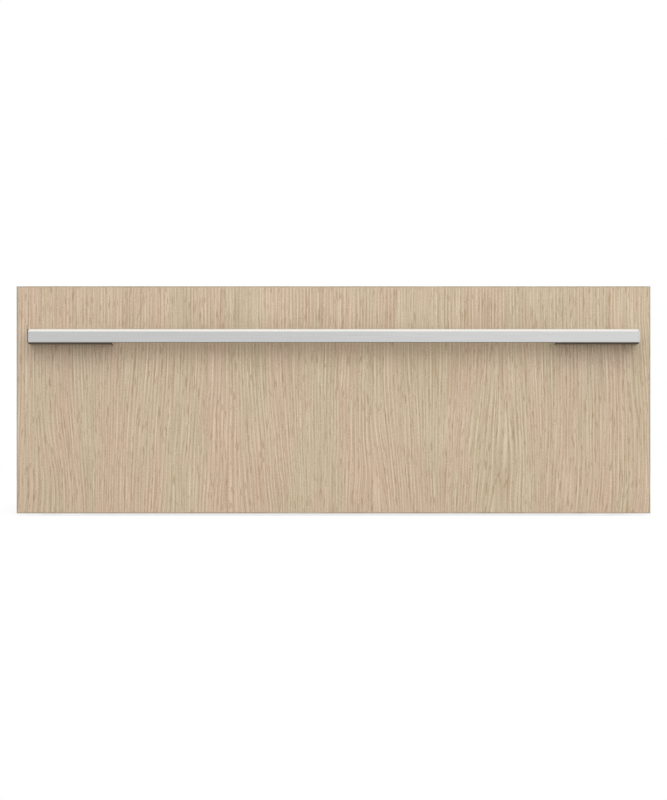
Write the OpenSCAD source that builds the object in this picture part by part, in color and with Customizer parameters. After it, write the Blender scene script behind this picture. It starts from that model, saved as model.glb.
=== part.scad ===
// Panel-ready warming drawer: a fan-heated steel drawer on telescopic ball runners, in a
// sheet-metal chassis, with a timber front panel and a full-width bar handle.
// Millimetres. +X is right, +Y goes to the back, +Z is up. The origin is the centre of the
// footprint at floor level. Inside the modules y = 0 is the cabinet's face plane, and
// seated() moves each piece from there to the origin above.

/* [Front panel] */
// Width of the timber panel
panel_w = 759; // [750:1:775]
// Height of the timber panel
panel_h = 272; // [270:1:285]
// Thickness of the timber panel
panel_t = 19; // [17:0.5:22]
// Gap between the panel and the floor
panel_lift = 3; // [1:0.5:4]
// Gap between the panel's back and the cabinet's face
panel_gap = 3.5; // [3:0.5:4]

/* [Handle] */
// Length of the bar
bar_l = 727; // [640:1:735]
// Height of the bar's face
bar_h = 15.5; // [13:0.5:18]
// Thickness of the bar, front to back
bar_d = 12; // [11:0.5:14]
// Distance from the panel's face to the bar's face
handle_reach = 36; // [32:1:42]
// Length of each end block
block_l = 98; // [80:1:120]
// Distance from the panel's top edge to the bar's top edge
handle_drop = 52; // [48:1:60]
// Chamfer along the bar's top front edge
bar_chamfer = 2.5; // [1:0.5:3]

/* [Chassis] */
// Width of the casing
chassis_w = 712; // [708:2:716]
// Depth of the casing behind the cabinet's face
chassis_d = 560; // [558:1:575]
// Height of the casing without its feet
chassis_h = 259.2; // [258:0.2:262]
// Thickness of the sheet metal
sheet_t = 1.2; // [1:0.1:1.2]
// Height of the feet
foot_h = 4; // [3:0.5:5]

/* [Heated drawer] */
// Width of the drawer box, outside
drawer_w = 660; // [640:2:660]
// Depth of the drawer box behind the front
drawer_d = 447; // [430:1:450]
// Height of the drawer's walls
drawer_h = 164; // [140:1:170]
// How far the drawer opens
travel = 430; // [380:5:430]

/* [Hot air] */
// Radius of the fan wheel
fan_r = 62; // [50:1:64]
// Number of blades on the fan wheel
blade_count = 14; // [8:1:18]
// Radius of the heater's ring
heater_r = 82; // [76:1:84]

/* [Controls] */
// Half the width of the control strip
strip_x = 112; // [110:1:118]
// How far a button can be pushed
button_travel = 1; // [0.5:0.1:1]

/* [Hidden] */
$fn = 48;
t = sheet_t;
slack = 0.2; // between fixed pieces that stand beside each other

// Places from front to back, from the cabinet's face plane
panel_back = -panel_gap;
panel_face = panel_back - panel_t;
bar_back = panel_face - handle_reach + bar_d;
bar_face = panel_face - handle_reach;
skin_y = 22; // the rear face of the drawer's front
ledge_y = 26; // the ledge that the seal closes on
cavity_y = ledge_y + t;
baffle_y = 480;
bulkhead_y = 520;
rear_in = chassis_d - t;
gland_proud = 13.5;
seat_y = -(chassis_d + gland_proud + bar_face) / 2;

// Places from the floor up
floor_in = foot_h + t;
roof_z = foot_h + chassis_h;
roof_in = roof_z - t;
cavity_z0 = 20;
cavity_z1 = 214;
panel_top = panel_lift + panel_h;
bar_top = panel_top - handle_drop;
bar_z = bar_top - bar_h / 2;
drawer_z = 26;
rim_z = drawer_z + drawer_h;
runner_z = 75;
fan_z = 117;

// Places from the middle to the right
case_x = chassis_w / 2;
case_in = case_x - t;
drawer_x = drawer_w / 2;
cavity_x = drawer_x + 13; // each telescopic runner is 13 thick
front_x = 350; // half the width of the drawer's front
bar_x = bar_l / 2;

// Fasteners: [x, z] or [y] places
panel_screw_x = [-300, -130, 130, 300];
panel_screw_z = [50, 244];
panel_screw_depth = 14;
block_screw_x = [bar_x - block_l / 2 - 30, bar_x - block_l / 2 + 30];
handle_screw_r = 2.45;
counterbore = 5.5;
rivet_y = [34, travel - 55, travel + 20];
inner_rivet_y = [60, 240, 420];
roof_screw_y = [60, 220, 380, 540];
rear_screw_z = [30, 130, 240];
case_screw_x = case_x - 7;
fixing_hole_x = 364;
fixing_hole_z = [40, 230];
fixing_hole_r = 2.25;

// Telescopic runner: u goes from the cavity's wall inwards, v up from the runner's middle
outer_v = 22.9;
mid_v = 17.6;
inner_v = 13.2;
outer_wall = 1.3;
member_wall = 1.2;
outer_ball_r = 1.9;
inner_ball_r = 1.5;
ball_play = 0.05;
balls_in_row = 6;
outer_y = [28, travel + 48];
mid_y = [40, travel + 40];
outer_cage_y = [150, 340];
inner_cage_y = [158, 348];

// Controls
strip_z = [226, 252];
strip_face = ledge_y - 1.2;
button_size = [18, 12];
button_x = [-85, 60, 88];
button_face = strip_face - 1.2;
board_y = 40;
switch_face = board_y - 3.5;

// Rear compartment
gland_place = [210, 35];
gland_bore_r = 4.5;
motor_y = [530, 548];
rotor_r = 13.9;
shaft_r = 2.49;
shaft_play = 0.06;
heater_y = 500;
tube_r = 3.25;
bend_r = 3.2; // the tube is drawn down a little where it bends to the back
heater_gap = 40; // degrees left open in the heater's ring
leg_bend = 8;

// ---------- helpers ----------

module seated() translate([0, seat_y, 0]) children();

module span(x, y, z)
    translate([x[0], y[0], z[0]]) cube([x[1] - x[0], y[1] - y[0], z[1] - z[0]]);

module rod_x(r, x, y, z)
    translate([x[0], y, z]) rotate([0, 90, 0]) cylinder(r = r, h = x[1] - x[0]);

module rod_y(r, x, y, z)
    translate([x, y[0], z]) rotate([-90, 0, 0]) cylinder(r = r, h = y[1] - y[0]);

module rod_z(r, x, y, z) translate([x, y, z[0]]) cylinder(r = r, h = z[1] - z[0]);

// A round-ended upright slot through a plate that faces front and back
module slot_y(w, x, y, z) {
    span([x - w / 2, x + w / 2], y, [z[0] + w / 2, z[1] - w / 2]);
    for (end = [z[0] + w / 2, z[1] - w / 2]) rod_y(w / 2, x, y, end);
}

// A round-ended level slot through a plate that faces front and back
module level_slot_y(w, x, y, z) {
    span([x[0] + w / 2, x[1] - w / 2], y, [z - w / 2, z + w / 2]);
    for (end = [x[0] + w / 2, x[1] - w / 2]) rod_y(w / 2, end, y, z);
}

// A round-ended upright slot through a plate that faces sideways
module slot_x(w, x, y, z) {
    span(x, [y - w / 2, y + w / 2], [z[0] + w / 2, z[1] - w / 2]);
    for (end = [z[0] + w / 2, z[1] - w / 2]) rod_x(w / 2, x, y, end);
}

// A round-ended slot through a level plate, running front to back
module slot_z(w, x, y, z) {
    span([x - w / 2, x + w / 2], [y[0] + w / 2, y[1] - w / 2], z);
    for (end = [y[0] + w / 2, y[1] - w / 2]) rod_z(w / 2, x, end, z);
}

// A flat shape, drawn with x across and y up, drawn out along Y
module extrude_y(y)
    translate([0, y[1], 0]) rotate([90, 0, 0]) linear_extrude(y[1] - y[0]) children();

// A flat shape, drawn with x to the back and y up, drawn out along X about the middle
module extrude_x(w)
    rotate([90, 0, 90]) linear_extrude(w, center = true) children();

module mirrored() {
    children();
    mirror([1, 0, 0]) children();
}

module left_hand() mirror([1, 0, 0]) children();

// An upright rectangle with its corners cut at 45 degrees
module cut_rectangle(x, y, cut) polygon([
    [x[0] + cut, y[0]], [x[1] - cut, y[0]], [x[1], y[0] + cut], [x[1], y[1] - cut],
    [x[1] - cut, y[1]], [x[0] + cut, y[1]], [x[0], y[1] - cut], [x[0], y[0] + cut]]);

// A pan-head screw or rivet: its shank runs along +Z from under the head
module pan_screw(head_r, head_h, shank_r, length, key_r = 0) {
    difference() {
        rotate_extrude() polygon([[0, -head_h], [head_r * 0.7, -head_h],
            [head_r, -head_h * 0.45], [head_r, 0], [0, 0]]);
        if (key_r > 0)
            translate([0, 0, -head_h - 1]) cylinder(r = key_r, h = 1 + head_h * 0.6, $fn = 6);
    }
    cylinder(r = shank_r, h = length);
}

module to_back(x, y, z) translate([x, y, z]) rotate([-90, 0, 0]) children();

module to_front(x, y, z) translate([x, y, z]) rotate([90, 0, 0]) children();

// Moves a shape so that its own axes point along ax, ay and az, with its origin at p
module aimed(p, ax, ay, az) multmatrix([
    [ax[0], ay[0], az[0], p[0]], [ax[1], ay[1], az[1], p[1]],
    [ax[2], ay[2], az[2], p[2]], [0, 0, 0, 1]]) children();

// A quarter bend of round tube whose two legs would meet at p
module elbow(p, dir_in, dir_out, bend, r)
    aimed(p + (dir_out - dir_in) * bend, -dir_out, dir_in, cross(-dir_out, dir_in))
        rotate_extrude(angle = 90) translate([bend, 0]) circle(r);

module tube(a, b, r)
    let (d = (b - a) / norm(b - a), side = [d[1], d[2], d[0]])
        aimed(a, side, cross(d, side), d) cylinder(r = r, h = norm(b - a));

// A wire that runs along the axes from point to point, with round bends
module wire(points, r, bend) {
    last = len(points) - 1;
    heading = [for (i = [0:last - 1])
        (points[i + 1] - points[i]) / norm(points[i + 1] - points[i])];
    for (i = [0:last - 1]) {
        from = i == 0 ? 0 : bend;
        to = i == last - 1 ? 0 : bend;
        tube(points[i] + heading[i] * from, points[i + 1] - heading[i] * to, r);
        if (i > 0) elbow(points[i], heading[i - 1], heading[i], bend, r);
    }
}

// ---------- timber front and handle ----------

module front_panel() seated() color("burlywood") difference() {
    arris = 0.5;
    intersection() {
        extrude_x(panel_w)
            cut_rectangle([panel_face, panel_back], [panel_lift, panel_top], arris);
        translate([0, 0, panel_lift]) linear_extrude(panel_h)
            cut_rectangle([-panel_w / 2, panel_w / 2], [panel_face, panel_back], arris);
    }
    mirrored() for (x = block_screw_x) {
        rod_y(2.75, x, [panel_face - 1, panel_back + 1], bar_z);
        rod_y(6, x, [panel_back - counterbore, panel_back + 1], bar_z);
    }
    for (x = panel_screw_x, z = panel_screw_z)
        rod_y(2, x, [panel_back - panel_screw_depth, panel_back + 1], z);
}

module handle_bar() seated() color("silver") difference() {
    edge = 0.6;
    z0 = bar_top - bar_h;
    intersection() {
        extrude_x(bar_l) polygon([
            [bar_face + edge, z0], [bar_back - edge, z0], [bar_back, z0 + edge],
            [bar_back, bar_top - edge], [bar_back - edge, bar_top],
            [bar_face + bar_chamfer, bar_top], [bar_face, bar_top - bar_chamfer],
            [bar_face, z0 + edge]]);
        translate([0, 0, z0 - 1]) linear_extrude(bar_h + 2)
            cut_rectangle([-bar_x, bar_x], [bar_face, bar_back], edge);
    }
    mirrored() for (x = block_screw_x) rod_y(2.5, x, [bar_back - 8, bar_back + 1], bar_z);
}

module handle_block() seated() color("silver") difference() {
    inset = 0.4;
    extrude_y([bar_back, panel_face]) cut_rectangle([bar_x - block_l, bar_x - inset],
        [bar_top - bar_h + inset, bar_top - inset], inset);
    for (x = block_screw_x) rod_y(2.75, x, [bar_back - 1, panel_face + 1], bar_z);
}

module handle_block_left() left_hand() handle_block();

module handle_block_right() handle_block();

module handle_screws() seated() color("gray") mirrored() for (x = block_screw_x)
    to_front(x, panel_back - counterbore, bar_z)
        pan_screw(4.5, 3.5, handle_screw_r, panel_t - counterbore + handle_reach - bar_d + 7, 2);

// ---------- drawer front ----------

module front_carrier() seated() color("gainsboro") difference() {
    x = [-front_x, front_x];
    z = [9, 256];
    lip = 14;
    span(x, [panel_back, skin_y], z);
    span([x[0] + t, x[1] - t], [panel_back + t, skin_y - t], [z[0] + t, z[1] - t]);
    span([x[0] + lip, x[1] - lip], [panel_back - 1, panel_back + t + 1], [z[0] + lip, z[1] - lip]);
    for (sx = panel_screw_x, sz = panel_screw_z) rod_y(2.1, sx, [panel_back - 1, skin_y + 1], sz);
}

module front_insulation() seated() color("wheat") difference() {
    edge = t + slack;
    span([-front_x + edge, front_x - edge], [panel_back + edge, skin_y - edge],
        [9 + edge, 256 - edge]);
    for (x = panel_screw_x, z = panel_screw_z)
        rod_y(2.4, x, [panel_back, skin_y], z);
}

module panel_screws() seated() color("gray") for (x = panel_screw_x, z = panel_screw_z)
    to_front(x, skin_y, z) pan_screw(4, 2.2, 1.95, skin_y - panel_back + panel_screw_depth - 1, 1.8);

// Bulb seal: a strip with a half-round back, run round the drawer's front
module drawer_gasket() seated() color("dimgray") {
    half = [347.2, 101.2];
    corner = 9;
    translate([0, skin_y, (cavity_z0 + cavity_z1) / 2]) rotate([-90, 0, 0]) {
        for (i = [0:3]) {
            sx = (i == 0 || i == 3) ? 1 : -1;
            sy = i < 2 ? 1 : -1;
            translate([sx * (half[0] - corner), sy * (half[1] - corner), 0])
                rotate([0, 0, 90 * i])
                    rotate_extrude(angle = 90) translate([corner, 0]) seal_profile();
        }
        for (side = [-1, 1]) {
            translate([side * half[0], 0, 0]) rotate([90, 0, 0])
                linear_extrude(2 * (half[1] - corner), center = true) seal_profile();
            translate([0, side * half[1], 0]) rotate([90, 0, 90])
                linear_extrude(2 * (half[0] - corner), center = true) seal_profile();
        }
    }
}

module seal_profile() {
    translate([-2.7, 0]) square([5.4, 1.2]);
    intersection() {
        translate([0, 1.2]) circle(2.5);
        translate([-3, 1]) square([6, 4]);
    }
}

// ---------- drawer box ----------

drawer_back_y = skin_y + drawer_d;
rim = 8; // width of the rolled rim on the drawer's walls

module drawer_base() seated() color("gainsboro") {
    span([-drawer_x + t, drawer_x - t], [skin_y, drawer_back_y - t], [drawer_z, drawer_z + t]);
    for (i = [-2:2]) translate([i * drawer_x * 0.38, 0, drawer_z]) mirror([0, 0, 1])
        bead(14, [skin_y + 40, drawer_back_y - 40], 2.5);
}

// A pressed stiffening bead with sloping sides and round ends, running front to back
module bead(w, y, h) {
    top = w / 2 - h;
    for (end = [y[0] + w / 2, y[1] - w / 2])
        translate([0, end, 0]) cylinder(r1 = w / 2, r2 = top, h = h);
    extrude_y([y[0] + w / 2, y[1] - w / 2])
        polygon([[-w / 2, 0], [w / 2, 0], [top, h], [-top, h]]);
}

module drawer_side() seated() color("gainsboro") difference() {
    union() {
        span([drawer_x - t, drawer_x], [skin_y, drawer_back_y], [drawer_z, rim_z]);
        span([drawer_x - rim, drawer_x - t], [skin_y, drawer_back_y - t], [rim_z - t, rim_z]);
        span([drawer_x - rim, drawer_x - rim + t], [skin_y, drawer_back_y - t],
            [rim_z - rim, rim_z - t]);
    }
    for (y = inner_rivet_y) rod_x(2, [drawer_x - t - 1, drawer_x + 1], y, runner_z);
}

module drawer_side_left() left_hand() drawer_side();

module drawer_side_right() drawer_side();

module drawer_back() seated() color("gainsboro") difference() {
    y = [drawer_back_y - t, drawer_back_y];
    x = drawer_x - t;
    inner = x - rim; // the rims of the two sides run past the back's own rim
    union() {
        span([-x, x], y, [drawer_z + t, rim_z - t]);
        span([-inner, inner], [y[0] - rim + t, y[1]], [rim_z - t, rim_z]);
        span([-inner, inner], [y[0] - rim + t, y[0] - rim + 2 * t], [rim_z - rim, rim_z - t]);
    }
    for (i = [-19:19]) slot_y(4, i * 15, [y[0] - 1, y[1] + 1], [60, 100]);
    for (i = [-19:19]) slot_y(4, i * 15, [y[0] - 1, y[1] + 1], [112, 152]);
}

module drawer_mat() seated() color("dimgray") {
    x = drawer_x - 7;
    y = [skin_y + 7, drawer_back_y - 8];
    z = drawer_z + t;
    span([-x, x], y, [z, z + 2]);
    for (ry = [y[0] + 8:11:y[1] - 8]) span([-x + 8, x - 8], [ry, ry + 4], [z + 2, z + 3]);
}

// ---------- telescopic runners ----------

// A channel section in u and v: its web, two flanges and the lips on the flanges' ends
module channel(web, flange, v, wall, lip, lip_v) translate([0, runner_z]) {
    translate([web[0], -v]) square([web[1] - web[0], 2 * v]);
    for (side = [0, 1]) mirror([0, side]) {
        translate([flange[0], v - wall]) square([flange[1] - flange[0], wall]);
        translate([lip[0], lip_v]) square([lip[1] - lip[0], v - lip_v]);
    }
}

// Draws out a section in u and v along y, against the right-hand wall of the cavity
module runner_length(y) seated() extrude_y(y) translate([cavity_x, 0]) mirror([1, 0]) children();

module runner_outer() color("lightsteelblue") difference() {
    runner_length(outer_y)
        channel([0, outer_wall], [0, 10.6], outer_v, outer_wall, [9.4, 10.6], 19.8);
    seated() for (y = rivet_y) rod_x(2, [cavity_x - 3, cavity_x + 1], y, runner_z);
}

module runner_mid() color("lightsteelblue")
    runner_length(mid_y)
        channel([3, 4.2], [3, 11.4], mid_v, member_wall, [10.2, 11.4], 14.4);

module runner_inner() color("lightsteelblue") difference() {
    runner_length([skin_y, drawer_back_y - 1])
        channel([11.8, 13], [5.4, 13], inner_v, member_wall, [5.4, 6.6], inner_v - member_wall);
    seated() for (y = inner_rivet_y) rod_x(2, [cavity_x - 14, cavity_x - 11], y, runner_z);
}

// A strip bent over the two rows of balls, with a hole for each ball
module ball_cage(y, web_u, leg_u, v, ball_u, ball_r) seated() {
    difference() {
        translate([0, -seat_y, 0]) runner_length(y) translate([0, runner_z]) {
            translate([web_u, -v]) square([0.8, 2 * v]);
            for (side = [-1, 1]) translate([web_u, side * v - 0.4]) square([leg_u - web_u, 0.8]);
        }
        in_rows(y, v, ball_u) cylinder(r = ball_r + ball_play, h = 4, center = true);
    }
    in_rows(y, v, ball_u) sphere(ball_r);
}

module in_rows(y, v, ball_u) {
    pitch = (y[1] - y[0] - 20) / (balls_in_row - 1);
    for (side = [-1, 1], i = [0:balls_in_row - 1])
        translate([cavity_x - ball_u, y[0] + 10 + i * pitch, runner_z + side * v]) children();
}

module outer_cage() color("goldenrod") ball_cage(outer_cage_y, 1.7, 9, 19.6, 6.6, outer_ball_r);

module inner_cage() color("goldenrod") ball_cage(inner_cage_y, 4.4, 9.6, 14.8, 7.6, inner_ball_r);

module runner_outer_left() left_hand() runner_outer();

module runner_outer_right() runner_outer();

module runner_mid_left() left_hand() runner_mid();

module runner_mid_right() runner_mid();

module runner_inner_left() left_hand() runner_inner();

module runner_inner_right() runner_inner();

module ball_cage_outer_left() left_hand() outer_cage();

module ball_cage_outer_right() outer_cage();

module ball_cage_inner_left() left_hand() inner_cage();

module ball_cage_inner_right() inner_cage();

// A pop rivet along X: head, body and upset tail
module rivet(head_x, tail_x, y) {
    way = sign(tail_x - head_x);
    translate([head_x, y, runner_z]) rotate([0, way * 90, 0])
        pan_screw(3.4, 1.1, 1.95, abs(tail_x - head_x) + 1.2);
    translate([tail_x, y, runner_z]) rotate([0, way * 90, 0]) cylinder(r1 = 2.8, r2 = 2.2, h = 1.2);
}

module drawer_rivets() seated() color("gray") mirrored() for (y = inner_rivet_y)
    rivet(cavity_x - 11.8, drawer_x - t, y);

module chassis_rivets() seated() color("gray") mirrored() for (y = rivet_y)
    rivet(cavity_x - outer_wall, cavity_x + t, y);

// ---------- casing ----------

module base_pan() seated() color("lightgray") difference() {
    span([-case_x, case_x], [-1.5, chassis_d], [foot_h, floor_in]);
    for (place = feet_places) rod_z(3.1, place[0], place[1], [foot_h - 1, floor_in + 1]);
}

feet_places = [for (x = [-320, 320], y = [40, 520]) [x, y]];

module glide_feet() seated() color("black") for (place = feet_places)
    translate([place[0], place[1], 0]) rotate_extrude() polygon([
        [0, 0], [9.8, 0], [11, 1.2], [11, foot_h], [3, foot_h], [3, floor_in - 0.1],
        [0, floor_in - 0.1]]);

module side_wall() seated() color("lightgray") {
    inner = case_in - 10.8;
    plate_y = [0, chassis_d];
    flange_y = [cavity_y + 1, rear_in - slack];
    difference() {
        span([case_in, case_x], plate_y, [floor_in, roof_in]);
        for (i = [0:3], z = [40, 110, 180])
            slot_x(3, [case_in - 1, case_x + 1], 529 + i * 7, [z, z + 45]);
    }
    difference() {
        span([inner, case_in], flange_y, [roof_in - t, roof_in]);
        for (y = roof_screw_y) rod_z(1.7, case_screw_x, y, [roof_in - t - 1, roof_in + 1]);
    }
    span([inner, case_in], flange_y, [floor_in, floor_in + t]);
    difference() {
        span([inner, case_in], [rear_in - slack - t, rear_in - slack], [floor_in + t, roof_in - t]);
        for (z = rear_screw_z) rod_y(1.7, case_screw_x, [rear_in - 4, rear_in + 1], z);
    }
}

module side_wall_left() left_hand() side_wall();

module side_wall_right() side_wall();

module top_cover() seated() color("lightgray") difference() {
    union() {
        span([-case_x, case_x], [-1.5, chassis_d], [roof_in, roof_z]);
        for (i = [-2:2]) translate([i * 130, 0, roof_z]) bead(18, [60, 490], 1.8);
    }
    mirrored() for (y = roof_screw_y) rod_z(2, case_screw_x, y, [roof_in - 1, roof_z + 1]);
    for (i = [-10:10]) slot_z(4, i * 16, [526, 552], [roof_in - 1, roof_z + 1]);
}

module rear_cover() seated() color("lightgray") difference() {
    y = [rear_in, chassis_d];
    cut = [y[0] - 1, y[1] + 1];
    span([-case_in + slack, case_in - slack], y, [floor_in + slack, roof_in - slack]);
    mirrored() for (z = rear_screw_z) rod_y(2, case_screw_x, cut, z);
    rod_y(8, gland_place[0], cut, gland_place[1]);
    for (row = [0:8], x = [-170, -60, 50]) level_slot_y(4, [x, x + 90], cut, 70 + row * 14);
    for (row = [0:4]) level_slot_y(4, [160, 270], cut, 190 + row * 12);
}

module cover_screws() seated() color("gray") {
    mirrored() for (y = roof_screw_y) translate([case_screw_x, y, roof_z]) mirror([0, 0, 1])
        pan_screw(3.8, 2.2, 1.65, 6, 1.7);
    mirrored() for (z = rear_screw_z) to_front(case_screw_x, chassis_d, z)
        pan_screw(3.8, 2.2, 1.65, 6, 1.7);
}

// Folded jamb: fixing flange on the cabinet's face, web, and the ledge for the seal
module front_jamb() seated() color("gainsboro") difference() {
    z = [floor_in, roof_in];
    union() {
        span([case_in - t, 372], [-1.5, 0], z);
        span([case_in - t, case_in], [0, ledge_y], z);
        span([cavity_x, case_in], [ledge_y, cavity_y], z);
    }
    for (hole_z = fixing_hole_z) rod_y(fixing_hole_r, fixing_hole_x, [-3, 1], hole_z);
}

module front_jamb_left() left_hand() front_jamb();

module front_jamb_right() front_jamb();

module front_top_rail() seated() color("gainsboro") {
    x = cavity_x - 0.1;
    difference() {
        span([-x, x], [ledge_y, cavity_y], [cavity_z1, roof_in]);
        span([-strip_x + 7, strip_x - 7], [ledge_y - 1, cavity_y + 1],
            [strip_z[0] + 3, strip_z[1] - 3]);
    }
    span([-x, x], [cavity_y, cavity_y + 14], [roof_in - t, roof_in]);
}

module front_sill() seated() color("gainsboro") {
    x = cavity_x - 0.1;
    span([-x, x], [ledge_y, cavity_y], [floor_in, cavity_z0]);
    span([-case_in + t + slack, case_in - t - slack], [-1.5, ledge_y], [floor_in, floor_in + t]);
}

// ---------- heated cavity ----------

module cavity_floor() seated() color("gainsboro")
    span([-cavity_x, cavity_x], [cavity_y, bulkhead_y], [cavity_z0 - t, cavity_z0]);

module cavity_ceiling() seated() color("gainsboro")
    span([-cavity_x, cavity_x], [cavity_y, bulkhead_y], [cavity_z1, cavity_z1 + t]);

module cavity_side() seated() color("gainsboro") difference() {
    span([cavity_x, cavity_x + t], [cavity_y, bulkhead_y], [cavity_z0 - t, cavity_z1 + t]);
    for (y = rivet_y) rod_x(2, [cavity_x - 1, cavity_x + t + 1], y, runner_z);
}

module cavity_side_left() left_hand() cavity_side();

module cavity_side_right() cavity_side();

// Stiff mineral boards under, over and beside the cavity
module insulation_boards() seated() color("wheat") {
    y = [cavity_y + 15, bulkhead_y - slack];
    span([-cavity_x + slack, cavity_x - slack], [cavity_y + 1, y[1]],
        [floor_in + slack, cavity_z0 - t - slack]);
    span([-cavity_x, cavity_x], y, [cavity_z1 + t + slack, cavity_z1 + 13]);
    mirrored() difference() {
        span([cavity_x + t + slack, case_in - slack], [cavity_y + 1.2, y[1]],
            [floor_in + t + slack, roof_in - t - slack]);
        for (ry = rivet_y) rod_x(4, [cavity_x, cavity_x + t + 4], ry, runner_z);
        for (sy = roof_screw_y) rod_z(3, case_screw_x, sy, [roof_in - 8, roof_in]);
    }
}

// Perforated plate between the drawer and the fan: air goes in at the middle, out at the sides
module air_baffle() seated() color("silver") {
    y = [baffle_y, baffle_y + t];
    cut = [y[0] - 1, y[1] + 1];
    x = cavity_x - slack;
    z = [cavity_z0 + slack, cavity_z1 - slack];
    difference() {
        span([-x, x], y, z);
        rod_y(4, 0, cut, fan_z);
        for (ring = [1:4], i = [0:6 * ring - 1])
            rod_y(4, ring * 12 * cos(i * 60 / ring), cut, fan_z + ring * 12 * sin(i * 60 / ring));
        mirrored() for (i = [0:10], row = [0, 1])
            slot_y(5, 190 + i * 13, cut, [42 + row * 80, 110 + row * 80]);
    }
    for (edge = [z[0], z[1] - t]) span([-x, x], [y[1], y[1] + 12], [edge, edge + t]);
}

module bulkhead() seated() color("lightgray") difference() {
    y = [bulkhead_y, bulkhead_y + t];
    cut = [y[0] - 1, y[1] + 1];
    span([-case_in + slack, case_in - slack], y, [floor_in + t + slack, roof_in - t - slack]);
    rod_y(7, 0, cut, fan_z);
    for (side = [-1, 1]) rod_y(tube_r + 0.4, leg_place(side)[0], cut, leg_place(side)[1]);
    rod_y(2.3, 120, cut, 170);
    rod_y(7, 200, cut, 240);
}

// ---------- fan and heater ----------

// Where the heater's ring ends: side is -1 for the left end and 1 for the right end
function ring_end(side) = -90 + side * heater_gap / 2;

function ring_point(side) = [heater_r * cos(ring_end(side)), fan_z + heater_r * sin(ring_end(side))];

function ring_way(side) = [side * sin(ring_end(side)), -side * cos(ring_end(side))];

function leg_place(side) = ring_point(side) + ring_way(side) * leg_bend;

module heater_element() seated() color("dimgray") {
    back = [0, 1, 0];
    translate([0, heater_y, fan_z]) rotate([90, 0, 0]) rotate([0, 0, ring_end(1)])
        rotate_extrude(angle = 360 - heater_gap) translate([heater_r, 0]) circle(tube_r);
    for (side = [-1, 1]) {
        way = ring_way(side);
        foot = leg_place(side);
        elbow([foot[0], heater_y, foot[1]], [way[0], 0, way[1]], back, leg_bend, bend_r);
        rod_y(tube_r, foot[0], [heater_y + leg_bend, bulkhead_y + 10], foot[1]);
        to_back(foot[0], bulkhead_y + t, foot[1]) cylinder(r = 7, h = 4, $fn = 6);
        to_back(foot[0], bulkhead_y - 2, foot[1]) cylinder(r = 6, h = 2);
        span([foot[0] - 0.4, foot[0] + 0.4], [bulkhead_y + 9, bulkhead_y + 20],
            [foot[1] - 3.1, foot[1] + 3.1]);
    }
}

module fan_wheel() seated() color("silver") to_back(0, 488, fan_z) difference() {
    hub_r = 9;
    blade_h = 20;
    union() {
        translate([0, 0, blade_h]) cylinder(r = fan_r, h = 1);
        cylinder(r = hub_r, h = blade_h + 1);
        for (i = [0:blade_count - 1]) rotate([0, 0, i * 360 / blade_count])
            translate([fan_r - 33, -22, 0]) rotate([0, 0, 12])
                rotate_extrude(angle = 62) translate([30, 0]) square([0.9, blade_h]);
    }
    translate([0, 0, -1]) cylinder(r = shaft_r + 0.01, h = blade_h + 3);
}

module fan_shaft() seated() color("gray") {
    rod_y(shaft_r, 0, [486, 554], fan_z);
    rod_y(rotor_r, 0, [motor_y[0] + 1, motor_y[1] - 1], fan_z);
}

// Shaded-pole motor: laminated stack, bearing straps and the posts that hold them
module motor_core() seated() color("slategray") {
    post_x = 27;
    difference() {
        union() {
            span([-32, 32], motor_y, [fan_z - 44, fan_z + 20]);
            for (side = [-1, 1]) rod_y(2.5, side * post_x, [bulkhead_y + t, 553], fan_z);
        }
        rod_y(rotor_r + 0.6, 0, [motor_y[0] - 1, motor_y[1] + 1], fan_z);
        span([-24, 24], [motor_y[0] - 1, motor_y[1] + 1], [fan_z - 34, fan_z - 20]);
    }
    for (y = [524, 551]) difference() {
        union() {
            level_slot_y(10, [-post_x - 5, post_x + 5], [y, y + 2], fan_z);
            rod_y(6, 0, [y - 1.5, y + 2], fan_z);
        }
        rod_y(shaft_r + shaft_play, 0, [y - 3, y + 4], fan_z);
    }
}

module motor_coil() seated() color("peru") difference() {
    union() {
        extrude_y([523, 555]) cut_rectangle([-15, 15], [fan_z - 52, fan_z - 21], 3);
        for (x = [-17, 15]) span([x, x + 2], [522, 556], [fan_z - 54, fan_z - 20.2]);
    }
    span([-20, 20], [motor_y[0] - slack, motor_y[1] + slack], [fan_z - 44.2, fan_z - 33.8]);
}

module thermal_cutout() seated() color("black") {
    x = -120;
    z = 150;
    y = bulkhead_y + t;
    rod_y(8, x, [y, y + 9], z);
    span([x - 14, x + 14], [y, y + 1], [z - 4, z + 4]);
    for (side = [-4, 4]) span([x + side - 0.4, x + side + 0.4], [y + 8, y + 17], [z - 3, z + 3]);
}

module temperature_probe() seated() color("silver") {
    x = 120;
    z = 170;
    rod_y(2.2, x, [bulkhead_y - 30, bulkhead_y + t], z);
    to_back(x, bulkhead_y + t, z) cylinder(r = 5, h = 5, $fn = 6);
    rod_y(1.6, x, [bulkhead_y + t + 4, bulkhead_y + 20], z);
}

// ---------- controls ----------

strip_mid = (strip_z[0] + strip_z[1]) / 2;
plate_back = 28; // the rear face of the strip's front plate

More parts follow.
